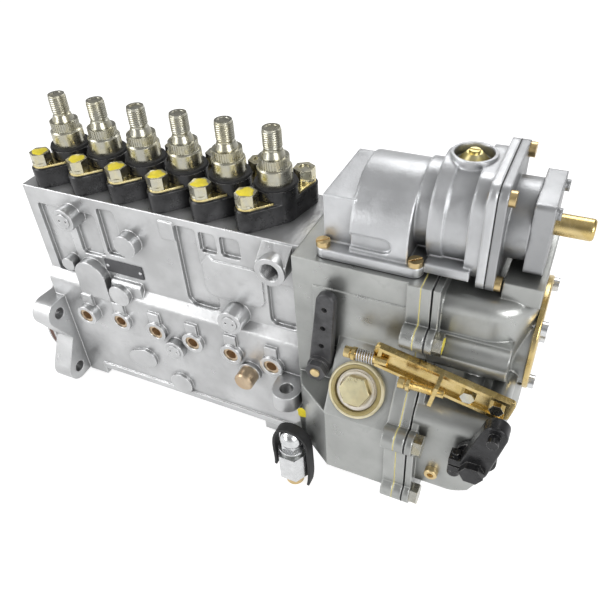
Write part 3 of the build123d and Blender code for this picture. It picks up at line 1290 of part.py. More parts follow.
# Cap in the sloping face, with a ring groove and a hexagon plug
with BuildPart() as governor_cap:
    with BuildSketch(CAP_PLANE):
        Circle(CAP_R)
    extrude(amount=CAP_THICK)
    chamfer(governor_cap.edges().filter_by(GeomType.CIRCLE).sort_by(Axis.Z)[-1], 0.8)
    with BuildSketch(CAP_PLANE.offset(CAP_THICK)):
        Circle(CAP_STEP_R)
        Circle(CAP_STEP_R - CAP_STEP, mode=Mode.SUBTRACT)
    extrude(amount=-CAP_STEP, mode=Mode.SUBTRACT)
    with BuildSketch(CAP_PLANE.offset(CAP_THICK)):
        Circle(CAP_RECESS_R)
    extrude(amount=-CAP_STEP, mode=Mode.SUBTRACT)
finish(governor_cap, "governor_cap")

with BuildPart() as cap_plug_bolt:
    with BuildSketch(CAP_PLANE.offset(CAP_THICK - CAP_STEP)):
        RegularPolygon(CAP_BOLT_FLATS / 2, 6, major_radius=False)
    extrude(amount=CAP_BOLT_HEIGHT)
finish(cap_plug_bolt, "cap_hexagon")

# Bracket bar: a channel on two feet of the rear housing, with lugs for the stop screws
with BuildPart() as bracket_bar:
    with BuildSketch(BAR_PLANE):
        RectangleRounded(BAR_LENGTH, BAR_HEIGHT, 3, align=(Align.MIN, Align.CENTER))
    extrude(amount=BAR_THICK)
    for side in (-1, 1):
        with BuildSketch(BAR_PLANE):
            with Locations((3, side * (BAR_HEIGHT - BAR_THICK) / 2)):
                Rectangle(BAR_LENGTH - 6, BAR_THICK, align=(Align.MIN, Align.CENTER))
        extrude(amount=BAR_LIP)
    with BuildSketch(BAR_PLANE):
        with Locations((3, 0)):
            Rectangle(BAR_THICK, BAR_HEIGHT - 2, align=(Align.MIN, Align.CENTER))
    extrude(amount=BAR_LIP)
    with BuildSketch(BAR_PLANE):
        with Locations((STUD_LUG, 0)):
            Rectangle(BAR_THICK, BAR_HEIGHT, align=(Align.MIN, Align.CENTER))
    extrude(amount=STUD_LUG_OUT)
    with BuildSketch(BAR_PLANE):
        for distance in BAR_BOLTS:
            with Locations((distance, 0)):
                Circle(BAR_BOLT_R)
    extrude(amount=BAR_THICK, mode=Mode.SUBTRACT)
    with Locations(IDLE_PLANE, STUD_PLANE):
        Cylinder(STOP_SCREW_R, 2 * STOP_SCREW_LENGTH, mode=Mode.SUBTRACT)
finish(bracket_bar, "bracket_bar")

# Stop screws with their nuts
with BuildPart() as stop_screws:
    with Locations(IDLE_PLANE, STUD_PLANE):
        with Locations((0, 0, -STOP_SCREW_LENGTH + 6)):
            Cylinder(STOP_SCREW_R, STOP_SCREW_LENGTH, align=BASE)
            Cylinder(STOP_SCREW_R + 1.2, 4, align=BASE)
        with Locations((0, 0, -STOP_SCREW_LENGTH + 11)):
            Cylinder(STOP_NUT_R, STOP_NUT, align=BASE)
finish(stop_screws, "stop_screws")

# Stop lever with its shaft and clamp nut
with BuildPart() as stop_lever:
    with BuildSketch(toward_front(STOP_X, STOP_FACE_Y, STOP_Z)):
        Circle(STOP_HUB_R)
        with Locations(STOP_TIP):
            Circle(STOP_TIP_R)
        make_hull()
    extrude(amount=STOP_THICK)
    chamfer(stop_lever.faces().sort_by(Axis.Y)[0].edges(), 0.8)
    with Locations(toward_front(STOP_X, STOP_FACE_Y, STOP_Z)):
        Cylinder(STOP_HUB_R, STOP_THICK + 3, align=BASE)
    with Locations(toward_front(STOP_X, -ROOM_HALF + 3, STOP_Z)):
        Cylinder(STOP_SHAFT_R, -ROOM_HALF + 3 - STOP_FACE_Y + STOP_THICK + 6, align=BASE)
        Cylinder(STOP_SHAFT_R + 2, 2.5, align=BASE)
    with BuildSketch(toward_front(STOP_X, STOP_FACE_Y - STOP_THICK - 3, STOP_Z)):
        RegularPolygon(6.5, 6, major_radius=False)
    extrude(amount=5)
    with BuildSketch(toward_front(STOP_X, STOP_FACE_Y, STOP_Z)):
        for distance in STOP_HOLES:
            share = distance / STOP_LENGTH
            with Locations((STOP_TIP[0] * share, STOP_TIP[1] * share)):
                Circle(STOP_HOLE_R)
    extrude(amount=STOP_THICK, mode=Mode.SUBTRACT)
finish(stop_lever, "stop_lever")

# Control lever with its shaft, split clamp and ball stud
with BuildPart() as control_lever:
    with BuildSketch(toward_front(CONTROL_X, CONTROL_FACE_Y, CONTROL_Z)):
        Circle(CONTROL_HUB_R)
        with Locations(CONTROL_TIP):
            Circle(CONTROL_TIP_R)
        make_hull()
    extrude(amount=CONTROL_THICK)
    fillet(control_lever.faces().sort_by(Axis.Y)[0].edges(), 1.2)
    with BuildSketch(toward_front(CONTROL_X, CONTROL_FACE_Y, CONTROL_Z)):
        with Locations((-CLAMP_REACH / 2, -2)):
            Rectangle(CLAMP_REACH, CLAMP_HEIGHT)
    extrude(amount=CONTROL_THICK)
    with BuildSketch(toward_front(CONTROL_X, CONTROL_FACE_Y, CONTROL_Z)):
        with Locations((-CLAMP_REACH, -2)):
            Rectangle(CLAMP_REACH, CLAMP_SLIT)
    extrude(amount=CONTROL_THICK, mode=Mode.SUBTRACT)
    with Locations(toward_front(CONTROL_X, CONTROL_FACE_Y + CONTROL_DISC, CONTROL_Z)):
        Cylinder(CONTROL_DISC_R, CONTROL_DISC, align=BASE)
    with Locations(toward_front(CONTROL_X, CONTROL_SHAFT_Y - 1, CONTROL_Z)):
        Cylinder(CONTROL_SHAFT_R, CONTROL_SHAFT_Y - CONTROL_FACE_Y + CONTROL_THICK, align=BASE)
    with BuildSketch(toward_front(CONTROL_X, CONTROL_FACE_Y - CONTROL_THICK, CONTROL_Z)):
        RegularPolygon(CONTROL_NUT_FLATS / 2, 6, major_radius=False)
    extrude(amount=CONTROL_NUT)
    with Locations((CONTROL_X - 11.5, CONTROL_FACE_Y - CONTROL_THICK / 2, CONTROL_Z - CLAMP_HEIGHT - 1)):
        Cylinder(CLAMP_SCREW_R, CLAMP_HEIGHT + 8, align=BASE)
        Cylinder(CLAMP_HEAD_R, 4, align=BASE)
    with Locations(toward_front(CONTROL_X + CONTROL_TIP[0], CONTROL_FACE_Y, CONTROL_Z + CONTROL_TIP[1])):
        Cylinder(BALL_STUD_R, CONTROL_THICK + BALL_STUD_LENGTH, align=BASE)
finish(control_lever, "control_lever")

# Boost unit: base plate, box, dome, drum and diaphragm flange
with BuildPart() as boost_housing:
    with Locations((BOOST_X0, 0, BOOST_FOOT)):
        Box(BOOST_X1 - BOOST_X0, 2 * BOOST_HALF, BOOST_BASE, align=(Align.MIN, Align.CENTER, Align.MIN))
    fillet(boost_housing.edges().filter_by(Axis.Z), 6)
    with Locations((BOX_X0, 0, BOOST_FOOT)):
        Box(BOX_X1 - BOX_X0 + 1, 2 * BOX_HALF, BOX_TOP - BOOST_FOOT, align=(Align.MIN, Align.CENTER, Align.MIN))
    with BuildSketch(Plane.YZ.offset(BOX_X1)):
        with BuildLine():
            Polyline((-DOME_HALF, DOME_SPRING), (-DOME_HALF, BOOST_FOOT), (DOME_HALF, BOOST_FOOT), (DOME_HALF, DOME_SPRING))
            ThreePointArc((-DOME_HALF, DOME_SPRING), (0, DOME_TOP), (DOME_HALF, DOME_SPRING))
        make_face()
    extrude(amount=DOME_X1 - BOX_X1)
    with BuildSketch(toward_front(RECESS_X, -DOME_HALF, RECESS_Z)):
        SlotOverall(RECESS_LENGTH, RECESS_HEIGHT)
    extrude(amount=-RECESS_DEPTH, mode=Mode.SUBTRACT)
    with Locations(along_x(DRUM_X, 0, BOOST_Z)):
        Cylinder(DRUM_R, DRUM_STEP_X - DRUM_X, align=BASE)
    with Locations(along_x(DRUM_STEP_X, 0, BOOST_Z)):
        Cylinder(DRUM_R - DRUM_STEP, DIA_X - DRUM_STEP_X, align=BASE)
    with Locations(along_x(DOME_X1, 0, BOOST_Z)):
        Cylinder(DRUM_NECK_R, DRUM_X - DOME_X1, align=BASE)
    with BuildSketch(Plane.YZ.offset(RIM_X)):
        with Locations((0, BOOST_Z)):
            RectangleRounded(2 * RIM_HALF, 2 * RIM_HALF, RIM_R)
    extrude(amount=DIA_X - RIM_X)
    with Locations((BOOST_X1 + SEAT_GAP, 0, FOOT_TOP - FOOT_THICK)):
        Box(DIA_X - 4 - BOOST_X1, 2 * FOOT_HALF, FOOT_THICK, align=(Align.MIN, Align.CENTER, Align.MIN))
    with Locations((CUP_X, CUP_Y, BOOST_Z)):
        Cylinder(CUP_R, CUP_TOP - BOOST_Z, align=BASE)
    with Locations((DRUM_X, 0, 0)):
        Box(
            DIA_X - DRUM_X,
            4 * BOOST_HALF,
            BOOST_FOOT + SEAT_GAP,
            align=(Align.MIN, Align.CENTER, Align.MIN),
            mode=Mode.SUBTRACT,
        )
    with BuildSketch(Plane.YZ.offset(DIA_X)):
        with Locations((0, BOOST_Z)):
            RectangleRounded(2 * DIA_HALF, 2 * DIA_HALF, DIA_R)
    extrude(amount=DIA_FLANGE)
    with Locations((CUP_X, CUP_Y, CUP_FLOOR)):
        Cylinder(CUP_R - CUP_WALL, CUP_TOP - CUP_FLOOR, align=BASE, mode=Mode.SUBTRACT)
    with Locations(along_x(BOOST_ROOM_X, 0, BOOST_Z)):
        Cylinder(BOOST_ROOM_R, DIA_X + DIA_FLANGE - BOOST_ROOM_X, align=BASE, mode=Mode.SUBTRACT)
    with Locations(along_x(BOOST_ROD_X - BOOST_STROKE - 1, 0, BOOST_Z)):
        Cylinder(BOOST_ROD_R + RUNNING, DIA_X - BOOST_ROD_X, align=BASE, mode=Mode.SUBTRACT)
    extrude(diaphragm_bolts(DIA_X, SCREW_R), amount=DIA_FLANGE, mode=Mode.SUBTRACT)
    with Locations(*[(x, y, BOOST_FOOT) for x, y in BOOST_SCREWS]):
        Cylinder(SCREW_R, BOOST_BASE, align=BASE, mode=Mode.SUBTRACT)
finish(boost_housing, "boost_housing")

with BuildPart() as boost_gasket:
    with BuildSketch(Plane.XY.offset(GOV_TOP)):
        with Locations(((BOOST_X0 + BOOST_X1) / 2, 0)):
            RectangleRounded(BOOST_X1 - BOOST_X0, 2 * BOOST_HALF, 6)
        with Locations(*BOOST_SCREWS):
            Circle(SCREW_R, mode=Mode.SUBTRACT)
    extrude(amount=BOOST_GASKET)
finish(boost_gasket, "boost_gasket")

# Screws of the boost unit: four slotted in the base, four through the diaphragm flange
with BuildPart() as boost_screws:
    with Locations(*[(x, y, GOV_TOP) for x, y in BOOST_SCREWS]):
        Cylinder(SCREW_R, BOOST_GASKET + BOOST_BASE, align=BASE)
    with Locations(*[(x, y, BOOST_FOOT + BOOST_BASE) for x, y in BOOST_SCREWS]):
        Cylinder(SCREW_HEAD_R, SCREW_HEAD, align=BASE)
    with Locations(*[Location((x, y, BOOST_FOOT + BOOST_BASE + SCREW_HEAD), 40) for x, y in BOOST_SCREWS]):
        Box(2 * SCREW_HEAD_R, 1.2, 2.4, mode=Mode.SUBTRACT)
    extrude(diaphragm_bolts(DIA_X, SCREW_R), amount=BOOST_COVER_X + DIA_FLANGE - DIA_X)
    extrude(diaphragm_bolts(BOOST_COVER_X + DIA_FLANGE, SCREW_HEAD_R), amount=SCREW_HEAD)
finish(boost_screws, "boost_screws")

# Diaphragm clamped between the flanges
with BuildPart() as boost_diaphragm:
    with BuildSketch(Plane.YZ.offset(DIA_X + DIA_FLANGE)):
        with Locations((0, BOOST_Z)):
            RectangleRounded(2 * DIA_HALF, 2 * DIA_HALF, DIA_R)
            Circle(PISTON_R + FREE_GAP, mode=Mode.SUBTRACT)
    extrude(amount=DIA_THICK)
    extrude(diaphragm_bolts(DIA_X + DIA_FLANGE, SCREW_R), amount=DIA_THICK, mode=Mode.SUBTRACT)
finish(boost_diaphragm, "boost_diaphragm")

# Cover of the boost unit with its drum and end block
with BuildPart() as boost_cover:
    with BuildSketch(Plane.YZ.offset(BOOST_COVER_X)):
        with Locations((0, BOOST_Z)):
            RectangleRounded(2 * DIA_HALF, 2 * DIA_HALF, DIA_R)
    extrude(amount=DIA_FLANGE)
    with Locations(along_x(BOOST_COVER_X, 0, BOOST_Z)):
        Cylinder(COVER_DRUM_R, COVER_DRUM_END - BOOST_COVER_X, align=BASE)
    with Locations(along_x(BOOST_COVER_X, 0, BOOST_Z)):
        Cylinder(COVER_ROOM_R, COVER_ROOM_LENGTH, align=BASE, mode=Mode.SUBTRACT)
        Cylinder(PIPE_BORE_R, COVER_DRUM_END - BOOST_COVER_X, align=BASE, mode=Mode.SUBTRACT)
    extrude(diaphragm_bolts(BOOST_COVER_X, SCREW_R), amount=DIA_FLANGE, mode=Mode.SUBTRACT)
finish(boost_cover, "boost_cover")

with BuildPart() as boost_end_block:
    with BuildSketch(Plane.YZ.offset(COVER_DRUM_END)):
        with Locations((0, BOOST_Z)):
            RectangleRounded(2 * END_BLOCK_HALF, 2 * END_BLOCK_HALF, 3)
            Circle(PIPE_SPIGOT_R, mode=Mode.SUBTRACT)
    extrude(amount=END_BLOCK_END - COVER_DRUM_END)
    for side in (-1, 1):
        with Locations(along_x(END_BLOCK_END, side * 16, BOOST_Z + 16)):
            Cylinder(3.4, 2.6, align=BASE)
finish(boost_end_block, "boost_end_block")

# Pipe for the boost pressure
with BuildPart() as boost_pipe:
    with Locations(along_x(END_BLOCK_END, 0, BOOST_Z)):
        Cylinder(PIPE_R, PIPE_LENGTH, align=BASE)
    fillet(boost_pipe.faces().sort_by(Axis.X)[-1].edges(), PIPE_END_R)
    with Locations(along_x(COVER_DRUM_END, 0, BOOST_Z)):
        Cylinder(PIPE_SPIGOT_R, END_BLOCK_END - COVER_DRUM_END, align=BASE)
    with Locations(along_x(COVER_DRUM_END, 0, BOOST_Z)):
        Cylinder(PIPE_BORE_R, PIPE_LENGTH + END_BLOCK_END - COVER_DRUM_END, align=BASE, mode=Mode.SUBTRACT)
finish(boost_pipe, "boost_pipe")

# Rod with the diaphragm's piston plates
with BuildPart() as boost_rod:
    with Locations(along_x(BOOST_ROD_X, 0, BOOST_Z)):
        Cylinder(BOOST_ROD_R, PISTON_X + 10 - BOOST_ROD_X, align=BASE)
    with Locations(along_x(PISTON_X, 0, BOOST_Z)):
        Cylinder(PISTON_R, 7, align=BASE)
    with BuildSketch(Plane.YZ.offset(PISTON_X)):
        with Locations((0, BOOST_Z)):
            Circle(PISTON_SPRING_R + 1)
            Circle(BOOST_ROD_R + 1.5, mode=Mode.SUBTRACT)
    extrude(amount=5, mode=Mode.SUBTRACT)
finish(boost_rod, "boost_rod")

with BuildPart() as boost_spring:
    with BuildSketch(Plane.XZ):
        for turn in range(BOOST_SPRING_TURNS):
            with Locations((BOOST_ROOM_X + 1.1 + BOOST_SPRING_PITCH * turn, BOOST_Z + PISTON_SPRING_R - 1.1)):
                Rectangle(2.2, 2.2)
        with Locations((BOOST_ROOM_X, BOOST_Z + PISTON_SPRING_R - 2.2)):
            Rectangle(BOOST_SPRING_PITCH * (BOOST_SPRING_TURNS - 1) + 2.2, 0.7, align=(Align.MIN, Align.CENTER))
    revolve(axis=Axis((0, 0, BOOST_Z), (1, 0, 0)))
finish(boost_spring, "boost_spring")

# Filler plug in the cup
with BuildPart() as filler_plug:
    with Locations((CUP_X, CUP_Y, CUP_FLOOR)):
        Cone(10.8, 4.5, 7, align=BASE)
        Cylinder(3.2, 8.5, align=BASE)
    with Locations((CUP_X, CUP_Y, CUP_FLOOR + 8.5)):
        Box(7, 1.2, 2.0, mode=Mode.SUBTRACT)
finish(filler_plug, "filler_plug")

# Overflow fitting: a neck through the housing's lug with a cap nut, a union and an end plug
with BuildPart() as overflow_fitting:
    with Locations((FITTING_X, HANGER_EYE_Y, HANGER_Z + HANGER_THICK)):
        Cylinder(10.5, 1.2, align=BASE)
    with BuildSketch(Plane.XY.offset(HANGER_Z + HANGER_THICK + 1.2)):
        with Locations((FITTING_X, HANGER_EYE_Y)):
            RegularPolygon(8, 6, major_radius=False)
    extrude(amount=6)
    with Locations((FITTING_X, HANGER_EYE_Y, BALL_Z)):
        Sphere(BALL_R)
    with Locations((FITTING_X, HANGER_EYE_Y, UNION_Z)):
        Cylinder(FITTING_NECK_R, HANGER_Z - UNION_Z + HANGER_THICK + 2, align=BASE)
    with BuildSketch(Plane.XY.offset(UNION_Z)):
        with Locations((FITTING_X, HANGER_EYE_Y)):
            RegularPolygon(UNION_FLATS / 2, 6, major_radius=False)
    extrude(amount=HANGER_Z - UNION_Z)
finish(overflow_fitting, "overflow_fitting")

with BuildPart() as overflow_end_plug:
    with BuildSketch(Plane.XY.offset(UNION_Z - 4)):
        with Locations((FITTING_X, HANGER_EYE_Y)):
            RegularPolygon(8.5, 6, major_radius=False)
    extrude(amount=4)
    with Locations((FITTING_X, HANGER_EYE_Y, END_PLUG_Z)):
        Cylinder(7, UNION_Z - END_PLUG_Z, align=BASE)
    chamfer(overflow_end_plug.faces().sort_by(Axis.Z)[0].edges(), 1)
finish(overflow_end_plug, "overflow_end_plug")

# Strap of the protective cap, looped over the fitting
with BuildPart() as fitting_strap:
    with BuildLine(toward_front(FITTING_X, HANGER_EYE_Y, 0)) as strap_line:
        Spline(*STRAP_PATH)
    with BuildSketch(Plane(origin=strap_line.line @ 0, x_dir=(0, 1, 0), z_dir=strap_line.line % 0)):
        Rectangle(STRAP_WIDTH, STRAP_THICK)
    sweep()
finish(fitting_strap, "fitting_strap")

# Carrier of the flyweights on the camshaft's end
with BuildPart() as flyweight_carrier:
    with Locations(along_x(CARRIER_X)):
        Cylinder(CARRIER_R, CARRIER_LENGTH, align=BASE)
        Cylinder(GOVERNOR_SHAFT_R, CARRIER_LENGTH, align=BASE, mode=Mode.SUBTRACT)
    for side in (-1, 1):
        with BuildSketch(Plane.XZ.offset(side * (WEIGHT_HALF + SEAT_GAP + CARRIER_CHEEK / 2) + CARRIER_CHEEK / 2)):
            with BuildLine():
                Polyline(
                    (CARRIER_X + CARRIER_LENGTH, WEIGHT_PIVOT_R + 3),
                    (WEIGHT_PIVOT_X - 4, WEIGHT_PIVOT_R + 3),
                    (WEIGHT_PIVOT_X - 4, WEIGHT_PIVOT_R - 4),
                    (CARRIER_X, WEIGHT_PIVOT_R - 4),
                    (CARRIER_X, -WEIGHT_PIVOT_R + 4),
                    (WEIGHT_PIVOT_X - 4, -WEIGHT_PIVOT_R + 4),
                    (WEIGHT_PIVOT_X - 4, -WEIGHT_PIVOT_R - 3),
                    (CARRIER_X + CARRIER_LENGTH, -WEIGHT_PIVOT_R - 3),
                    close=True,
                )
            make_face()
        extrude(amount=-CARRIER_CHEEK)
    for side in (-1, 1):
        with Locations(toward_front(WEIGHT_PIVOT_X, WEIGHT_CHEEK_OUT, side * WEIGHT_PIVOT_R)):
            Cylinder(WEIGHT_PIN_R, 2 * WEIGHT_CHEEK_OUT, align=BASE)
finish(flyweight_carrier, "flyweight_carrier")

# Flyweights: a hub on the pin, a finger on the governor sleeve and the mass
for number, side in ((1, 1), (2, -1)):
    with BuildPart() as flyweight:
        with BuildSketch(toward_front(WEIGHT_PIVOT_X, WEIGHT_HALF, side * WEIGHT_PIVOT_R)):
            Circle(WEIGHT_HUB_R)
        extrude(amount=2 * WEIGHT_HALF)
        with BuildSketch(toward_front(WEIGHT_PIVOT_X, WEIGHT_HALF, side * WEIGHT_PIVOT_R)):
            with Locations((WEIGHT_REACH / 2, side * 1.2)):
                Rectangle(WEIGHT_REACH, 4.6)
        extrude(amount=2 * WEIGHT_HALF)
        with BuildSketch(toward_front(WEIGHT_PIVOT_X, FINGER_HALF, side * WEIGHT_PIVOT_R)):
            with Locations((0, -side * WEIGHT_FINGER_R)):
                Circle(FINGER_TIP_R)
            with Locations((0, -side * WEIGHT_FINGER_R / 2)):
                Rectangle(FINGER_SHANK, WEIGHT_FINGER_R)
        extrude(amount=2 * FINGER_HALF)
        with Locations(toward_front(WEIGHT_PIVOT_X, WEIGHT_HALF, side * WEIGHT_PIVOT_R)):
            Cylinder(WEIGHT_PIN_R + RUNNING, 2 * WEIGHT_HALF, align=BASE, mode=Mode.SUBTRACT)
    finish(flyweight, "flyweight_" + str(number))

# Governor sleeve on the shaft: groove for the fork and thrust flange for the fingers
with BuildPart() as governor_sleeve:
    sleeve_end = WEIGHT_PIVOT_X - FINGER_TIP_R - SEAT_GAP
    with BuildSketch(Plane.XZ):
        with BuildLine():
            Polyline(
                (FULCRUM_X - 7, GOVERNOR_SHAFT_R + RUNNING),
                (FULCRUM_X - 7, GOV_SLEEVE_R),
                (FULCRUM_X - GROOVE_WIDTH / 2, GOV_SLEEVE_R),
                (FULCRUM_X - GROOVE_WIDTH / 2, GROOVE_R),
                (FULCRUM_X + GROOVE_WIDTH / 2, GROOVE_R),
                (FULCRUM_X + GROOVE_WIDTH / 2, GOV_SLEEVE_R),
                (sleeve_end - 4, GOV_SLEEVE_R),
                (sleeve_end - 4, THRUST_R),
                (sleeve_end, THRUST_R),
                (sleeve_end, GOVERNOR_SHAFT_R + RUNNING),
                close=True,
            )
        make_face()
    revolve(axis=Axis.X)
finish(governor_sleeve, "governor_sleeve")

# Fulcrum lever: a fork on the governor sleeve below its pin and a slotted arm up to the rack
with BuildPart() as fulcrum_lever:
    with Locations(toward_front(FULCRUM_X, GOV_HALF - 3.5, FULCRUM_Z)):
        Cylinder(FULCRUM_PIN_R - RUNNING, 2 * GOV_HALF - 7, align=BASE)
    with Locations(toward_front(FULCRUM_X, FORK_INNER + FORK_THICK, FULCRUM_Z)):
        Cylinder(FULCRUM_HUB_R, 2 * (FORK_INNER + FORK_THICK), align=BASE)
    for side in (-1, 1):
        with BuildSketch(toward_front(FULCRUM_X, side * (FORK_INNER + FORK_THICK / 2) + FORK_THICK / 2, 0)):
            with Locations((0, 0)):
                Circle(5)
            with Locations((0, FULCRUM_Z)):
                Circle(5)
            make_hull()
        extrude(amount=FORK_THICK)
        with Locations(toward_front(FULCRUM_X, side * (FORK_INNER - 1) + 1.1, 0)):
            Cylinder(FORK_PIN_R, 2.2, align=BASE)
    with BuildSketch(toward_front(FULCRUM_X, ARM_Y + ARM_PLATE / 2, 0)):
        with Locations((0, FULCRUM_Z)):
            Circle(FULCRUM_HUB_R)
        with Locations((0, RACK_MIDDLE_Z)):
            Circle(ARM_TOP_R)
        make_hull()
        with Locations((0, RACK_MIDDLE_Z + 2)):
            SlotCenterToCenter(6, 2 * (RACK_PIN_R + SEAT_GAP), rotation=90, mode=Mode.SUBTRACT)
    extrude(amount=ARM_PLATE)
finish(fulcrum_lever, "fulcrum_lever")
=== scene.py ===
import math

import bmesh
import bpy
import numpy as np
from mathutils import Matrix, Vector


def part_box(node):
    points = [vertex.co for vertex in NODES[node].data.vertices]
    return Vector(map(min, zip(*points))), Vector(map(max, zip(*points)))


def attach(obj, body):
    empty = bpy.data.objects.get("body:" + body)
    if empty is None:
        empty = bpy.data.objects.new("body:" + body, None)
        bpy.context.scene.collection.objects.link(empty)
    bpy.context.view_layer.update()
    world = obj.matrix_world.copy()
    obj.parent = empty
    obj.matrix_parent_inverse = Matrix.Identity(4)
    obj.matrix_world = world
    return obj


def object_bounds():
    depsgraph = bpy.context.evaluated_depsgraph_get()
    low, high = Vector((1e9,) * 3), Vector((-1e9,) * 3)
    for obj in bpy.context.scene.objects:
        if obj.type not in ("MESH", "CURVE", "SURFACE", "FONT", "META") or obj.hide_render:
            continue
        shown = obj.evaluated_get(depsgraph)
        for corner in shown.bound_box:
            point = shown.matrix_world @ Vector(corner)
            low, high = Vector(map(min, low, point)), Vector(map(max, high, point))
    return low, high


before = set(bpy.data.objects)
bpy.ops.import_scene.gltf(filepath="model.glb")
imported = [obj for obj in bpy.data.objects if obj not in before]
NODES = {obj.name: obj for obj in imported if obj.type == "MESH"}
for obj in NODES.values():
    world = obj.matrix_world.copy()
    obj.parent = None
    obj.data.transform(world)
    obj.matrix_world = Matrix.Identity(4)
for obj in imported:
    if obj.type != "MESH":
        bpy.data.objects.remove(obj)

bl_info = {
    "name": "Injection pump dressing",
    "version": (1, 0, 0),
    "blender": (4, 5, 0),
    "location": "View3D > Sidebar > Pump",
    "description": "Finishes and small pieces for a six-element injection pump on its packed frame",
    "category": "Object",
}

CAD_BOX = [[float(v) for v in corner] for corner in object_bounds()]
MM = 0.001

# Places on the pump, in millimetres in the frame's axes. A zero stands where a piece's own heights count.
ELEMENT_X = [38.0 + 35.0 * i for i in range(6)]
STUD = (11.06, 21.48)  # from an element's axis to its front stud: back along X, then forward
IDLE_SCREW = (0, -63.0, 97.0)
FULL_SCREW = (0, -70.0, 91.0)
INLET = (227.0, 0, 129.5)
CONTROL_SHAFT = (378.0, 0, 48.0)
CHAMBER_SCREW = (351.5, 0, 16.5)
STOP_SHAFT = (266.0, 0, 71.0)
GOVERNOR_BOLT = (345.5, -51.0, 112.0)
FITTING_LUG = (251.9, -60.0, 18.1)

# Threads, in millimetres: from and to along the axis, radii, pitch
UNION_SPAN, UNION_ROOT, UNION_PITCH = (195.0, 208.6), 6.02, 1.5
IDLE_SPAN, FULL_SPAN = (291.2, 307.5), (329.5, 346.0)
SCREW_CREST, SCREW_ROOT, SCREW_PITCH = 2.95, 2.52, 1.0
INLET_SPAN, INLET_BORE, INLET_CREST, INLET_PITCH = (-44.6, -32.0), 7.0, 6.35, 1.5

# Paint dabs: the radius on the nuts, then place, normal, radius and phase of the rim of the others
NUT_DAB = 5.7
DABS = (
    (GOVERNOR_BOLT, (1, 0, 0), 5.0, 1.7),
    (FITTING_LUG, (0, -1, 0), 4.8, 2.6),
    ((287.0, *IDLE_SCREW[1:]), (-1, 0, 0), 3.0, 0.4),
)

# The round cap: its middle in metres, its tilt about X and its radius
CAP_MIDDLE, CAP_TILT, CAP_RADIUS = (0.2955, -0.0636, 0.0654), math.atan2(46.0, 31.0), 0.019

# The photograph's camera: place in metres, azimuth, elevation and roll in degrees, sensor in millimetres
CAMERA_PLACE = (0.39980, -0.33539, 0.38603)
CAMERA_TURN = (27.56, 39.8, -4.09)
CAMERA_SENSOR, CAMERA_NEAR = 36.0, 0.01

# Lamps: name, place in metres, edge in metres, power in watts
LAMPS = (
    ("key_lamp", (-1.05, -0.80, 1.00), 0.9, 12.0),
    ("low_lamp", (-0.66, -1.44, 0.52), 0.6, 4.4),
    ("fill_lamp", (1.25, -0.75, 0.75), 0.7, 10.0),
    ("back_lamp", (0.25, 1.05, 1.25), 0.8, 9.0),
)
LAMP_AIM_Z = 0.06

# Grey of the sky over the height of the view direction, and how the floor glows for each kind of ray
SKY = ((0.0, 0.76), (0.12, 0.64), (0.34, 0.26), (0.66, 0.24), (1.0, 0.50))
FLOOR_SEEN, FLOOR_MIRRORED = 0.80, 0.55
FLOOR_GAP = 0.0005

# Profiles of turned pieces, as (radius, height along the axis) in millimetres
RIVET = ((0.05, -0.75), (0.6, -0.68), (1.1, -0.45), (1.4, -0.12), (1.45, 0.05), (0.05, 0.05))
RIVET_INSET = 2.4
BOSS = ((6.2, -71.3), (7.6, -71.3), (8.5, -70.9), (8.9, -70.0), (9.2, -60.0), (9.4, -34.0), (6.2, -34.0))
SCREW_HEAD = (
    (0.05, -72.6), (2.1, -72.6), (2.1, -75.4), (3.9, -75.4), (4.4, -74.9), (4.4, -70.9), (0.05, -70.9),
)
SHAFT_END = ((0.05, -66.4), (2.6, -66.3), (3.3, -65.8), (3.5, -65.2), (3.5, -64.5), (0.05, -64.5))

# The idle screw's spring: start and length along X, radius, turns, points in each turn and radius of the wire
SPRING_START, SPRING_LENGTH, SPRING_RADIUS = 295.2, 11.6, 3.7
SPRING_TURNS, SPRING_STEPS, SPRING_WIRE = 7, 28, 0.42


# Node helpers

def add(tree, kind, **settings):
    """Adds a shader node. A setting is an attribute of the node, or a value of the input of that name."""
    made = tree.nodes.new(kind)
    for key, value in settings.items():
        name = key.replace("_", " ")
        if hasattr(made, key):
            setattr(made, key, value)
        else:
            made.inputs[name].default_value = value
    return made


def ramp(tree, source, stops):
    """A colour ramp fed by a factor; stops are (place, grey or colour), in rising order."""
    made = tree.nodes.new("ShaderNodeValToRGB")
    band = made.color_ramp
    for place, _ in stops[2:]:
        band.elements.new(place)
    for element, (place, value) in zip(band.elements, stops):
        element.position = place
        element.color = (value, value, value, 1) if isinstance(value, (int, float)) else (*value, 1)
    tree.links.new(source, made.inputs["Fac"])
    return made.outputs["Color"]


def sum_of(tree, first, second, how="ADD"):
    """A maths node on two sockets or numbers."""
    made = tree.nodes.new("ShaderNodeMath")
    made.operation = how
    for slot, value in zip(made.inputs, (first, second)):
        if isinstance(value, (int, float)):
            slot.default_value = value
        else:
            tree.links.new(value, slot)
    return made.outputs[0]


def blend_colours(tree, factor, first, second):
    """A colour mix; each colour is a socket or a triple."""
    made = tree.nodes.new("ShaderNodeMix")
    made.data_type = "RGBA"
    tree.links.new(factor, made.inputs[0])
    for slot, value in ((made.inputs[6], first), (made.inputs[7], second)):
        if isinstance(value, (tuple, list)):
            slot.default_value = (*value[:3], 1)
        else:
            tree.links.new(value, slot)
    return made.outputs[2]


def noise(tree, where, scale, detail, rough, distort=0.0):
    """Noise on object coordinates, scale in cells per metre."""
    made = add(tree, "ShaderNodeTexNoise", Scale=scale, Detail=detail, Roughness=rough, Distortion=distort)
    tree.links.new(where, made.inputs["Vector"])
    return made.outputs["Fac"]


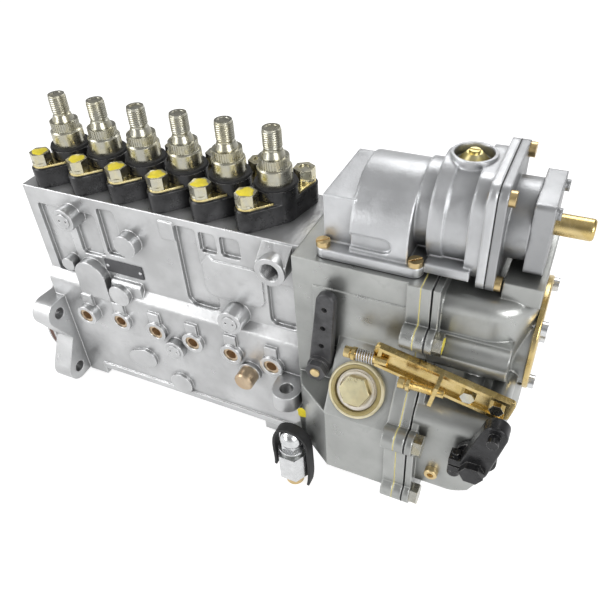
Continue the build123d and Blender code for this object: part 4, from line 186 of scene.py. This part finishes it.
def start_material(name, metallic, roughness, specular=0.5):
    """An empty material with a Principled shader and object coordinates."""
    material = bpy.data.materials.new(name)
    material.use_nodes = True
    tree = material.node_tree
    tree.nodes.clear()
    out = tree.nodes.new("ShaderNodeOutputMaterial")
    shader = tree.nodes.new("ShaderNodeBsdfPrincipled")
    shader.inputs["Metallic"].default_value = metallic
    shader.inputs["Roughness"].default_value = roughness
    shader.inputs["Specular IOR Level"].default_value = specular
    tree.links.new(shader.outputs["BSDF"], out.inputs["Surface"])
    where = tree.nodes.new("ShaderNodeTexCoord").outputs["Object"]
    return material, tree, shader, where


def edges_of(tree, radius):
    """Mask of convex edges: how far the rounded normal turns from the flat one, and the rounded normal."""
    rounded = tree.nodes.new("ShaderNodeBevel")
    rounded.samples = 4
    rounded.inputs["Radius"].default_value = radius
    flat = tree.nodes.new("ShaderNodeNewGeometry").outputs["Normal"]
    product = tree.nodes.new("ShaderNodeVectorMath")
    product.operation = "DOT_PRODUCT"
    tree.links.new(rounded.outputs["Normal"], product.inputs[0])
    tree.links.new(flat, product.inputs[1])
    away = sum_of(tree, 1.0, product.outputs["Value"], "SUBTRACT")
    return sum_of(tree, away, 3.0, "MULTIPLY"), rounded.outputs["Normal"]


def level_of(tree, source, low, high, start=0.0, end=1.0):
    """A factor carried from the range start to end into the range low to high."""
    made = add(tree, "ShaderNodeMapRange")
    tree.links.new(source, made.inputs["Value"])
    for name, value in (("From Min", start), ("From Max", end), ("To Min", low), ("To Max", high)):
        made.inputs[name].default_value = value
    return made.outputs["Result"]


def shade_of(colour, share, lift=0.0):
    """A colour times a share, with a lift, held at 1."""
    return tuple(min(1.0, c * share + lift) for c in colour)


def bump(tree, height, strength, distance, normal=None):
    """A bump node over a height socket."""
    made = tree.nodes.new("ShaderNodeBump")
    made.inputs["Strength"].default_value = strength
    made.inputs["Distance"].default_value = distance
    tree.links.new(height, made.inputs["Height"])
    if normal is not None:
        tree.links.new(normal, made.inputs["Normal"])
    return made.outputs["Normal"]


def painted_corner_shade(tree, reach):
    """Painted shade for corners: how open a point is within a reach, as a grey from dark in corners to white on
    free faces.
    """
    made = tree.nodes.new("ShaderNodeAmbientOcclusion")
    made.samples = 6
    made.inputs["Distance"].default_value = reach
    return ramp(tree, made.outputs["AO"], [(0.25, 0.0), (0.92, 1.0)])


def cast_alloy(name, colour, rough, grain, grain_depth, edge):
    """Blasted light-alloy casting: pitted grain, broad tonal clouds, painted shade darkening the corners,
    brighter worn edges.
    """
    material, tree, shader, where = start_material(name, 0.8, rough[0])
    fine = noise(tree, where, grain, 2.0, 0.6)
    pits = add(tree, "ShaderNodeTexVoronoi", Scale=grain * 0.55)
    tree.links.new(where, pits.inputs["Vector"])
    clouds = noise(tree, where, 22.0, 4.0, 0.55)
    stains = noise(tree, where, 75.0, 5.0, 0.65, 0.4)
    mask, rounded = edges_of(tree, edge)
    base = blend_colours(tree, ramp(tree, clouds, [(0.35, 0.0), (0.65, 1.0)]), shade_of(colour, 0.74), colour)
    base = blend_colours(tree, ramp(tree, stains, [(0.56, 0.0), (0.72, 0.5)]), base, shade_of(colour, 0.72))
    # Painted shade: corners and crevices darken towards a third of the colour by occlusion
    base = blend_colours(tree, painted_corner_shade(tree, 0.011), shade_of(colour, 0.34), base)
    base = blend_colours(tree, ramp(tree, mask, [(0.05, 0.0), (0.5, 0.9)]), base, shade_of(colour, 1.35))
    tree.links.new(base, shader.inputs["Base Color"])
    tree.links.new(level_of(tree, stains, rough[0], rough[1], 0.3, 0.7), shader.inputs["Roughness"])
    fine = sum_of(tree, fine, 0.6, "MULTIPLY")
    height = sum_of(tree, fine, sum_of(tree, pits.outputs["Distance"], 0.5, "MULTIPLY"))
    tree.links.new(bump(tree, height, 0.55, grain_depth, rounded), shader.inputs["Normal"])
    return material


def turned_metal(name, colour, metallic, rough, axis, lines, tint=None, tint_share=0.4, edge=0.0004):
    """Machined or plated steel: fine tool lines round an axis, a tint that pools in patches, bright edges."""
    material, tree, shader, where = start_material(name, metallic, rough)
    stretch = add(tree, "ShaderNodeMapping")
    scale = {"X": (1.0, 0.05, 0.05), "Y": (0.05, 1.0, 0.05), "Z": (0.05, 0.05, 1.0)}[axis]
    stretch.inputs["Scale"].default_value = scale
    tree.links.new(where, stretch.inputs["Vector"])
    tool = noise(tree, stretch.outputs["Vector"], lines, 2.0, 0.5)
    patches = noise(tree, where, 160.0, 3.0, 0.6, 0.3)
    mask, rounded = edges_of(tree, edge)
    base = blend_colours(tree, ramp(tree, patches, [(0.35, 0.0), (0.7, 1.0)]), shade_of(colour, 0.84), colour)
    if tint:
        pools = noise(tree, where, 95.0, 3.0, 0.55, 0.8)
        base = blend_colours(tree, ramp(tree, pools, [(0.42, 0.0), (0.62, tint_share)]), base, tint)
    base = blend_colours(tree, ramp(tree, mask, [(0.05, 0.0), (0.6, 0.8)]), base, shade_of(colour, 1.15))
    tree.links.new(base, shader.inputs["Base Color"])
    tree.links.new(level_of(tree, patches, rough * 0.75, rough * 1.4), shader.inputs["Roughness"])
    tree.links.new(bump(tree, tool, 0.35, 0.00003, rounded), shader.inputs["Normal"])
    return material


def ringed_cap(name, middle, tilt, radius):
    """Plated cap with turned rings: the tone follows the distance from its own tilted axis."""
    material, tree, shader, where = start_material(name, 0.55, 0.28)
    local = add(tree, "ShaderNodeMapping")
    local.vector_type = "TEXTURE"
    local.inputs["Location"].default_value = middle
    local.inputs["Rotation"].default_value = (tilt, 0, 0)
    tree.links.new(where, local.inputs["Vector"])
    flat = tree.nodes.new("ShaderNodeVectorMath")
    flat.operation = "MULTIPLY"
    flat.inputs[1].default_value = (1 / radius, 1 / radius, 0)
    tree.links.new(local.outputs["Vector"], flat.inputs[0])
    length = tree.nodes.new("ShaderNodeVectorMath")
    length.operation = "LENGTH"
    tree.links.new(flat.outputs["Vector"], length.inputs[0])
    out = length.outputs["Value"]
    base = ramp(tree, out, [
        (0.0, (0.64, 0.57, 0.33)), (0.52, (0.74, 0.68, 0.54)),  # under the hexagon
        (0.56, (0.84, 0.79, 0.71)), (0.72, (0.88, 0.83, 0.76)),  # washer
        # The groove band's dark colour is painted shade inside a turned groove
        (0.75, (0.30, 0.24, 0.10)), (0.88, (0.44, 0.36, 0.16)),  # groove
        (0.91, (0.84, 0.77, 0.54)), (1.0, (0.84, 0.76, 0.52)),  # rim
    ])
    patches = noise(tree, where, 180.0, 3.0, 0.6, 0.3)
    base = blend_colours(tree, ramp(tree, patches, [(0.4, 0.0), (0.75, 0.5)]), base, (0.52, 0.44, 0.24))
    tree.links.new(base, shader.inputs["Base Color"])
    depth = ramp(tree, out, [(0.0, 1.0), (0.72, 1.0), (0.75, 0.0), (0.88, 0.0), (0.91, 1.0), (1.0, 1.0)])
    tree.links.new(bump(tree, depth, 1.0, 0.0008), shader.inputs["Normal"])
    return material


def black_coat(name, colour, rough, metallic, edge_wear_and_sheen=(0.32, 0.31, 0.30)):
    """Black phosphated or oiled steel with rubbed edges; a pale edge colour also paints highlights on the
    edges.
    """
    material, tree, shader, where = start_material(name, metallic, rough)
    grain = noise(tree, where, 1400.0, 2.0, 0.6)
    clouds = noise(tree, where, 120.0, 4.0, 0.6)
    mask, rounded = edges_of(tree, 0.0006)
    rubbed_and_sheen = sum_of(tree, mask, ramp(tree, clouds, [(0.4, 0.15), (0.65, 1.0)]), "MULTIPLY")
    pale = shade_of(colour, 2.2, 0.006)
    base = blend_colours(tree, ramp(tree, clouds, [(0.35, 0.0), (0.7, 1.0)]), colour, pale)
    # Edge colour: rubbed wear, and where it is pale, as on black_steel, also a painted highlight on the edges
    base = blend_colours(tree, ramp(tree, rubbed_and_sheen, [(0.12, 0.0), (0.7, 0.75)]), base, edge_wear_and_sheen)
    tree.links.new(base, shader.inputs["Base Color"])
    tree.links.new(level_of(tree, clouds, rough * 0.7, rough * 1.5), shader.inputs["Roughness"])
    tree.links.new(bump(tree, grain, 0.4, 0.00006, rounded), shader.inputs["Normal"])
    return material


def soft_rubber(name, colour, rough=0.6):
    """Matt rubber or paper: fine grain and faint dusty patches."""
    material, tree, shader, where = start_material(name, 0.0, rough, 0.4)
    grain = noise(tree, where, 2200.0, 3.0, 0.6)
    dust = noise(tree, where, 210.0, 4.0, 0.6)
    dusty = shade_of(colour, 1.5, 0.02)
    base = blend_colours(tree, ramp(tree, dust, [(0.45, 0.0), (0.75, 0.6)]), colour, dusty)
    tree.links.new(base, shader.inputs["Base Color"])
    tree.links.new(level_of(tree, dust, rough * 0.8, min(1.0, rough * 1.3)), shader.inputs["Roughness"])
    tree.links.new(bump(tree, grain, 0.35, 0.00005), shader.inputs["Normal"])
    return material


def paint_mark(name, colour):
    """A dab of marking paint: glossy film with a brushed ridge and thin patches."""
    material, tree, shader, where = start_material(name, 0.0, 0.32)
    strokes = noise(tree, where, 420.0, 4.0, 0.6, 0.6)
    base = blend_colours(tree, ramp(tree, strokes, [(0.3, 0.0), (0.7, 1.0)]), shade_of(colour, 0.82), colour)
    tree.links.new(base, shader.inputs["Base Color"])
    tree.links.new(level_of(tree, strokes, 0.22, 0.5), shader.inputs["Roughness"])
    tree.links.new(bump(tree, strokes, 0.4, 0.00012), shader.inputs["Normal"])


# Surfaces worked out with numpy

def mesh_piece(name, points, faces, material, smooth):
    """A piece from a point array and face rows, with outward faces, shaded smooth below an angle."""
    mesh = bpy.data.meshes.new(name)
    mesh.from_pydata(np.asarray(points).reshape(-1, 3).tolist(), [], [list(map(int, f)) for f in faces])
    mesh.validate()
    shell = bmesh.new()
    shell.from_mesh(mesh)
    bmesh.ops.remove_doubles(shell, verts=shell.verts, dist=1e-6)
    bmesh.ops.recalc_face_normals(shell, faces=shell.faces)
    shell.to_mesh(mesh)
    shell.free()
    mesh.shade_smooth()
    mesh.set_sharp_from_angle(angle=math.radians(smooth))
    mesh.materials.append(material)
    piece = bpy.data.objects.new(name, mesh)
    bpy.context.scene.collection.objects.link(piece)
    return piece


def grid_faces(rows, columns):
    """Faces of a grid of rows by columns points, closed round the columns."""
    r, c = np.meshgrid(np.arange(rows - 1), np.arange(columns), indexing="ij")
    a = r * columns + c
    b = r * columns + (c + 1) % columns
    return np.stack([a, b, b + columns, a + columns], axis=-1).reshape(-1, 4)


def around(axis, centre, radius, height, angle):
    """Points at a radius, a height and an angle about an axis through centre, all as arrays of one shape."""
    u, v, w = radius * np.cos(angle), radius * np.sin(angle), height + 0 * angle
    order = {"Z": (u, v, w), "X": (w, u, v), "Y": (v, w, u)}[axis]
    return np.stack(order, axis=-1) + np.asarray(centre)


def closed_grid(rows, columns):
    """Faces of a grid closed round the columns, with one face over each end."""
    ends = [list(range(columns)), list(range((rows - 1) * columns, rows * columns))]
    return grid_faces(rows, columns).tolist() + ends


def turned(profile, centre, axis, sides):
    """A closed surface of revolution: each (radius, height) of the profile goes round a circle about the axis
    through centre. A face closes each end."""
    radius = np.array([p[0] for p in profile])[:, None]
    height = np.array([p[1] for p in profile])[:, None]
    angle = np.linspace(0, 2 * np.pi, sides, endpoint=False)[None, :]
    return around(axis, centre, radius, height, angle).reshape(-1, 3), closed_grid(len(profile), sides)


def sleeve(profile, centre, axis, sides=48):
    """A closed profile of (radius, height) carried round a circle about the axis through centre."""
    return turned(profile + profile[:1], centre, axis, sides)[0], grid_faces(len(profile) + 1, sides).tolist()


def thread(low, high, crest, root, pitch, centre, axis="Z", sides=36, steps=8):
    """A screw thread: the radius is the root plus the depth times a triangle wave of (height in pitches less
    the share of the turn), run out to the root over the last pitch at both ends."""
    height = np.linspace(low, high, int((high - low) / pitch * steps) + 1)[:, None]
    angle = np.linspace(0, 2 * np.pi, sides, endpoint=False)[None, :]
    wave = np.abs(2 * ((height / pitch - angle / (2 * np.pi)) % 1.0) - 1)
    run_out = np.clip(np.minimum(height - low, high - height) / pitch, 0, 1)
    radius = root + (crest - root) * wave * run_out
    return around(axis, centre, radius, height, angle).reshape(-1, 3), closed_grid(len(height), sides)


def tapped(low, high, bore, crest, pitch, centre, axis="Y", sides=48, steps=8):
    """The thread in a tapped hole, as a closed sleeve: the inner radius is the bore less the depth times the
    same triangle wave, and the outer wall lies just behind the bore."""
    height = np.linspace(low, high, int(abs(high - low) / pitch * steps) + 1)[:, None]
    angle = np.linspace(0, 2 * np.pi, sides, endpoint=False)[None, :]
    wave = np.abs(2 * ((height / pitch - angle / (2 * np.pi)) % 1.0) - 1)
    inner = around(axis, centre, bore - (bore - crest) * wave, height, angle)
    outer = around(axis, centre, bore + 0.03 + 0 * wave, height[::-1], angle)
    points = np.concatenate([inner, outer, inner[:1]])
    return points.reshape(-1, 3), grid_faces(len(points), sides).tolist()


def dab(place, normal, radius, film, phase, rows=8, sides=40):
    """A paint film: a polar grid whose rim wanders with two sines of the angle and whose thickness is the
    film times (1 - share of the radius cubed), down to a base just inside the surface."""
    n = np.asarray(normal, dtype=float)
    n /= np.linalg.norm(n)
    side = np.cross(n, (0.35, 0.85, 0.39))
    side /= np.linalg.norm(side)
    other = np.cross(n, side)
    share = np.linspace(0.03, 1, rows)[:, None, None]
    angle = np.linspace(0, 2 * np.pi, sides, endpoint=False)[None, :, None]
    rim = radius * (1 + 0.11 * np.sin(3 * angle + phase) + 0.07 * np.sin(5 * angle + 2.3 * phase))
    flat = share * rim * (np.cos(angle) * side + np.sin(angle) * other)
    top = np.asarray(place) + flat + film * (1 - share ** 3) * n
    base = np.asarray(place) + np.concatenate([flat[-1:], flat[:1]]) - 0.05 * n
    return np.concatenate([top, base]).reshape(-1, 3), closed_grid(rows + 2, sides)


def gathered(name, shapes, material, smooth=35.0, body="pump"):
    """One piece, riding on a body, of several closed shapes in millimetres."""
    points, faces, count = [], [], 0
    for p, f in shapes:
        points.append(p)
        faces += [[int(i) + count for i in face] for face in f]
        count += len(p)
    piece = mesh_piece(name, np.concatenate(points) * MM, faces, bpy.data.materials[material], smooth)
    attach(piece, body)


def wound(path, wire, sides=10):
    """A round wire along a path: a ring of sides points at each path point, in the plane across the path's
    run, with its frame carried from the run and a fixed side direction. The ends are closed."""
    path = np.asarray(path, dtype=float)
    run = np.gradient(path, axis=0)
    run /= np.linalg.norm(run, axis=1, keepdims=True)
    side = np.cross(run, np.array([0.137, 0.271, 0.953]))
    side /= np.linalg.norm(side, axis=1, keepdims=True)
    other = np.cross(run, side)
    angle = np.linspace(0, 2 * np.pi, sides, endpoint=False)
    ring = np.cos(angle)[None, :, None] * side[:, None, :] + np.sin(angle)[None, :, None] * other[:, None, :]
    points = path[:, None, :] + wire * ring
    return points.reshape(-1, 3), closed_grid(len(path), sides)


class PumpSizes(bpy.types.PropertyGroup):
    """Sizes and colours a user would change."""

    body_colour: bpy.props.FloatVectorProperty(
        name="Body", description="Colour of the bright pump body",
        default=(0.68, 0.685, 0.69), subtype="COLOR", min=0, max=1,
    )
    governor_colour: bpy.props.FloatVectorProperty(
        name="Governor", description="Colour of the satin governor castings",
        default=(0.49, 0.50, 0.485), subtype="COLOR", min=0, max=1,
    )
    boost_colour: bpy.props.FloatVectorProperty(
        name="Boost unit", description="Colour of the silver boost castings",
        default=(0.65, 0.66, 0.675), subtype="COLOR", min=0, max=1,
    )
    zinc_colour: bpy.props.FloatVectorProperty(
        name="Yellow zinc", description="Colour of the yellow-plated steel",
        default=(0.80, 0.66, 0.30), subtype="COLOR", min=0, max=1,
    )
    mark_colour: bpy.props.FloatVectorProperty(
        name="Paint marks", description="Colour of the marking paint",
        default=(0.92, 0.76, 0.05), subtype="COLOR", min=0, max=1,
    )
    mark_film: bpy.props.FloatProperty(
        name="Paint film", description="Thickness of the marking paint",
        default=0.00018, min=0.00005, max=0.001, unit="LENGTH",
    )
    thread_depth: bpy.props.FloatProperty(
        name="Thread depth", description="Depth of the union threads",
        default=0.00055, min=0.0002, max=0.001, unit="LENGTH",
    )
    floor_size: bpy.props.FloatProperty(
        name="Floor", description="Edge of the square floor",
        default=14.0, min=4.0, max=40.0, unit="LENGTH",
    )
    lens: bpy.props.FloatProperty(
        name="Lens", description="Focal length of the camera",
        default=39.03, min=20.0, max=120.0, unit="CAMERA",
    )


def sizes():
    """The sizes and colours of the scene."""
    return bpy.context.scene.pump_sizes


def finishes():
    """The finishes of the CAD nodes: node name to material."""
    s = sizes()
    body = cast_alloy("bright_casting", tuple(s.body_colour), (0.26, 0.44), 650.0, 0.00024, 0.0014)
    satin = cast_alloy("satin_casting", tuple(s.governor_colour), (0.26, 0.40), 1100.0, 0.00008, 0.0016)
    boost = cast_alloy("silver_casting", tuple(s.boost_colour), (0.28, 0.45), 900.0, 0.00014, 0.0024)
    cover = cast_alloy("dark_casting", shade_of(s.boost_colour, 0.62), (0.30, 0.48), 1000.0, 0.00012, 0.0018)
    zinc = turned_metal("yellow_zinc", tuple(s.zinc_colour), 1.0, 0.26, "Z", 2600.0, (0.86, 0.80, 0.52), 0.5)
    holder = turned_metal("holder_steel", (0.50, 0.49, 0.42), 1.0, 0.26, "Z", 3200.0, (0.60, 0.54, 0.32), 0.35)
    nut = turned_metal("nut_zinc", (0.62, 0.60, 0.50), 1.0, 0.26, "Z", 2400.0, (0.70, 0.62, 0.34), 0.45)
    gold = turned_metal("gold_zinc", (0.70, 0.53, 0.22), 1.0, 0.25, "X", 1800.0, (0.82, 0.68, 0.40), 0.4)
    bright = turned_metal("bright_steel", (0.72, 0.72, 0.73), 1.0, 0.22, "X", 2600.0)
    white = turned_metal("white_zinc", (0.80, 0.81, 0.82), 1.0, 0.22, "X", 2400.0)
    pale = turned_metal("pale_zinc", (0.62, 0.61, 0.55), 1.0, 0.24, "X", 2400.0, (0.66, 0.58, 0.34), 0.4)
    brass = turned_metal("brass", (0.72, 0.55, 0.28), 1.0, 0.28, "Y", 2400.0, (0.58, 0.42, 0.22), 0.4)
    hexagon = turned_metal("hexagon_brass", (0.84, 0.77, 0.50), 1.0, 0.28, "Y", 2400.0, (0.74, 0.62, 0.36), 0.4)
    cone = turned_metal("plug_zinc", (0.78, 0.66, 0.28), 1.0, 0.30, "Z", 2400.0, (0.72, 0.70, 0.56), 0.4)
    tan = turned_metal("tan_brass", (0.66, 0.52, 0.36), 0.9, 0.34, "Y", 1800.0, (0.50, 0.36, 0.24), 0.5)
    cream = ringed_cap("ringed_cap", CAP_MIDDLE, CAP_TILT, CAP_RADIUS)
    plate = turned_metal("plate_metal", (0.10, 0.10, 0.105), 0.6, 0.32, "X", 2600.0, edge=0.0003)
    # Pale edge colour: partly rubbed wear, partly a painted highlight on the bushings' edge rings
    black = black_coat("black_steel", (0.016, 0.016, 0.017), 0.26, 0.4, (0.48, 0.47, 0.45))
    grey = black_coat("dark_steel", (0.045, 0.045, 0.047), 0.42, 0.4)
    rubber = soft_rubber("black_rubber", (0.02, 0.02, 0.021))
    brown = soft_rubber("brown_seal", (0.12, 0.055, 0.035), 0.45)
    paper = soft_rubber("yellow_gasket", (0.66, 0.58, 0.20), 0.6)
    table = {
        "pump_housing": body, "tappet_guide_screws": tan, "blanking_plugs": body, "cap_plug": tan,
        "type_plate": plate, "drive_end_seals": brown, "camshaft": bright, "camshaft_bearings": bright,
        "drive_nut": black, "delivery_bushings": black, "bushing_studs": nut, "bushing_shims": zinc,
        "bushing_nuts": nut, "holder_seals": rubber, "delivery_valve_holders": holder,
        "delivery_valves": bright, "governor_front_housing": satin, "governor_gasket": paper,
        "governor_ring": satin, "rear_gasket": rubber, "governor_rear_housing": satin, "end_cover": gold,
        "end_cover_screws": white, "governor_bolts": pale, "governor_cap": cream, "cap_hexagon": hexagon,
        "bracket_bar": gold, "stop_screws": gold, "stop_lever": grey, "control_lever": black,
        "boost_housing": boost, "boost_gasket": rubber, "boost_screws": brass, "boost_diaphragm": rubber,
        "boost_cover": cover, "boost_end_block": cover, "boost_pipe": gold, "filler_plug": cone,
        "overflow_fitting": white, "overflow_end_plug": brass, "fitting_strap": rubber,
    }
    for node in NODES:
        table.setdefault(node, bright)
    paint_mark("marking_paint", tuple(s.mark_colour))
    return table


class PUMP_OT_finishes(bpy.types.Operator):
    """Gives every CAD node its finish"""

    bl_idname = "pump.finishes"
    bl_label = "Finishes"

    def execute(self, context):
        table = finishes()
        for node, item in NODES.items():
            item.data.materials.clear()
            item.data.materials.append(table[node])
        return {"FINISHED"}


class PUMP_OT_threads(bpy.types.Operator):
    """Threads of the delivery unions, the stop screws and the fuel inlet"""

    bl_idname = "pump.threads"
    bl_label = "Threads"

    def execute(self, context):
        crest = UNION_ROOT + sizes().thread_depth / MM
        unions = [thread(*UNION_SPAN, crest, UNION_ROOT, UNION_PITCH, (x, 0, 0)) for x in ELEMENT_X]
        gathered("union_threads", unions, "holder_steel", 50.0)
        screws = [
            thread(*span, SCREW_CREST, SCREW_ROOT, SCREW_PITCH, middle, "X", 24)
            for span, middle in ((IDLE_SPAN, IDLE_SCREW), (FULL_SPAN, FULL_SCREW))
        ]
        gathered("stop_screw_threads", screws, "gold_zinc", 50.0)
        inlet = tapped(*INLET_SPAN, INLET_BORE, INLET_CREST, INLET_PITCH, INLET)
        gathered("inlet_thread", [inlet], "bright_casting", 50.0)
        return {"FINISHED"}


class PUMP_OT_marks(bpy.types.Operator):
    """Yellow marking paint on the front nuts, a governor bolt, the idle screw and the fitting's lug"""

    bl_idname = "pump.marks"
    bl_label = "Paint marks"

    def execute(self, context):
        film = sizes().mark_film / MM
        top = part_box("bushing_nuts")[1][2] / MM
        spots = [
            dab((x - STUD[0], -STUD[1], top), (0, 0, 1), NUT_DAB, 4 * film, k)
            for k, x in enumerate(ELEMENT_X)
        ]
        spots += [dab(place, normal, radius, 2 * film, phase) for place, normal, radius, phase in DABS]
        gathered("paint_marks", spots, "marking_paint", 60.0)
        return {"FINISHED"}


class PUMP_OT_small_parts(bpy.types.Operator):
    """Rivets, the control shaft's boss, a plug screw, the stop shaft's end and the idle screw's spring"""

    bl_idname = "pump.small_parts"
    bl_label = "Small parts"

    def execute(self, context):
        low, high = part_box("type_plate")
        face, middle = low[1] / MM, (low[2] + high[2]) / 2 / MM
        ends = (low[0] / MM + RIVET_INSET, high[0] / MM - RIVET_INSET)
        rivets = [turned(RIVET, (x, face, middle), "Y", 24) for x in ends]
        gathered("plate_rivets", rivets, "bright_steel")
        gathered("control_shaft_boss", [sleeve(BOSS, CONTROL_SHAFT, "Y")], "satin_casting")
        gathered("chamber_screw", [turned(SCREW_HEAD, CHAMBER_SCREW, "Y", 36)], "brass")
        gathered("stop_shaft_end", [turned(SHAFT_END, STOP_SHAFT, "Y", 36)], "brass", body="stop_lever")
        turn = np.linspace(0, 2 * np.pi * SPRING_TURNS, SPRING_TURNS * SPRING_STEPS)
        along = SPRING_START + SPRING_LENGTH * turn / turn[-1]
        across = IDLE_SCREW[1] + SPRING_RADIUS * np.cos(turn)
        height = IDLE_SCREW[2] + SPRING_RADIUS * np.sin(turn)
        path = np.stack([along, across, height], axis=-1)
        gathered("idle_spring", [wound(path, SPRING_WIRE)], "bright_steel", 60.0)
        return {"FINISHED"}


class PUMP_OT_stage(bpy.types.Operator):
    """Pale floor, soft lamps and the camera of the photograph"""

    bl_idname = "pump.stage"
    bl_label = "Stage"

    def execute(self, context):
        s = sizes()
        scene = context.scene
        scene.view_settings.view_transform = "Standard"
        low = CAD_BOX[0][2] - FLOOR_GAP
        half = s.floor_size / 2
        mesh = bpy.data.meshes.new("floor")
        corners = [(x * half, y * half, low) for x, y in ((-1, -1), (1, -1), (1, 1), (-1, 1))]
        mesh.from_pydata(corners, [], [(0, 1, 2, 3)])
        floor = bpy.data.objects.new("floor", mesh)
        scene.collection.objects.link(floor)
        material = bpy.data.materials.new("studio_paper")
        material.use_nodes = True
        tree = material.node_tree
        tree.nodes.clear()
        out = tree.nodes.new("ShaderNodeOutputMaterial")
        matt = add(tree, "ShaderNodeBsdfDiffuse", Color=(0.5, 0.5, 0.5, 1))
        glow = add(tree, "ShaderNodeEmission", Color=(1, 1, 1, 1))
        path = tree.nodes.new("ShaderNodeLightPath")
        bounced = sum_of(tree, path.outputs["Is Glossy Ray"], path.outputs["Is Transmission Ray"], "MAXIMUM")
        bounced = sum_of(tree, bounced, FLOOR_MIRRORED, "MULTIPLY")
        direct = sum_of(tree, path.outputs["Is Camera Ray"], FLOOR_SEEN, "MULTIPLY")
        tree.links.new(sum_of(tree, direct, bounced, "MAXIMUM"), glow.inputs["Strength"])
        both = tree.nodes.new("ShaderNodeAddShader")
        tree.links.new(matt.outputs[0], both.inputs[0])
        tree.links.new(glow.outputs[0], both.inputs[1])
        tree.links.new(both.outputs[0], out.inputs["Surface"])
        mesh.materials.append(material)

        world = bpy.data.worlds.new("studio")
        scene.world = world
        world.use_nodes = True
        tree = world.node_tree
        tree.nodes.clear()
        out = tree.nodes.new("ShaderNodeOutputWorld")
        air = tree.nodes.new("ShaderNodeBackground")
        where = tree.nodes.new("ShaderNodeTexCoord").outputs["Generated"]
        split = tree.nodes.new("ShaderNodeSeparateXYZ")
        tree.links.new(where, split.inputs[0])
        sky = ramp(tree, split.outputs["Z"], SKY)
        path = tree.nodes.new("ShaderNodeLightPath")
        shown = blend_colours(tree, path.outputs["Is Camera Ray"], sky, (1.0, 1.0, 1.0))
        tree.links.new(shown, air.inputs["Color"])
        air.inputs["Strength"].default_value = 1.0
        tree.links.new(air.outputs[0], out.inputs["Surface"])

        middle = Vector(((CAD_BOX[0][0] + CAD_BOX[1][0]) / 2, 0.0, LAMP_AIM_Z))
        for name, place, edge, power in LAMPS:
            lamp = bpy.data.lights.new(name, "AREA")
            lamp.shape = "SQUARE"
            lamp.size = edge
            lamp.energy = power
            held = bpy.data.objects.new(name, lamp)
            scene.collection.objects.link(held)
            held.location = place
            held.rotation_euler = (middle - Vector(place)).to_track_quat("-Z", "Y").to_euler()

        azimuth, elevation, roll = (math.radians(degrees) for degrees in CAMERA_TURN)
        reach = math.cos(elevation)
        ahead = Vector((-math.sin(azimuth) * reach, math.cos(azimuth) * reach, -math.sin(elevation)))
        level = Vector((math.cos(azimuth), math.sin(azimuth), 0))
        rise = level.cross(ahead)
        right = level * math.cos(roll) + rise * math.sin(roll)
        upward = -level * math.sin(roll) + rise * math.cos(roll)
        lens = bpy.data.cameras.new("photo_camera")
        lens.sensor_width = CAMERA_SENSOR
        lens.lens = s.lens
        lens.clip_start = CAMERA_NEAR
        camera = bpy.data.objects.new("photo_camera", lens)
        scene.collection.objects.link(camera)
        turn = Matrix((right, upward, -ahead)).transposed().to_4x4()
        camera.matrix_world = Matrix.Translation(CAMERA_PLACE) @ turn
        scene.camera = camera
        return {"FINISHED"}


class PUMP_PT_panel(bpy.types.Panel):
    """Lists the pump's operators and sizes"""

    bl_label = "Injection pump"
    bl_idname = "PUMP_PT_panel"
    bl_space_type = "VIEW_3D"
    bl_region_type = "UI"
    bl_category = "Pump"

    def draw(self, context):
        for name in PumpSizes.__annotations__:
            self.layout.prop(context.scene.pump_sizes, name)
        for operator in OPERATORS:
            self.layout.operator(operator.bl_idname)


OPERATORS = (PUMP_OT_stage, PUMP_OT_finishes, PUMP_OT_threads, PUMP_OT_marks, PUMP_OT_small_parts)
CLASSES = (PumpSizes, *OPERATORS, PUMP_PT_panel)


def register():
    for item in CLASSES:
        bpy.utils.register_class(item)
    bpy.types.Scene.pump_sizes = bpy.props.PointerProperty(type=PumpSizes)


def unregister():
    del bpy.types.Scene.pump_sizes
    for item in reversed(CLASSES):
        bpy.utils.unregister_class(item)


def main():
    """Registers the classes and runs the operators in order."""
    register()
    for operator in OPERATORS:
        group, name = operator.bl_idname.split(".")
        getattr(getattr(bpy.ops, group), name)()


if __name__ == "__main__":
    main()
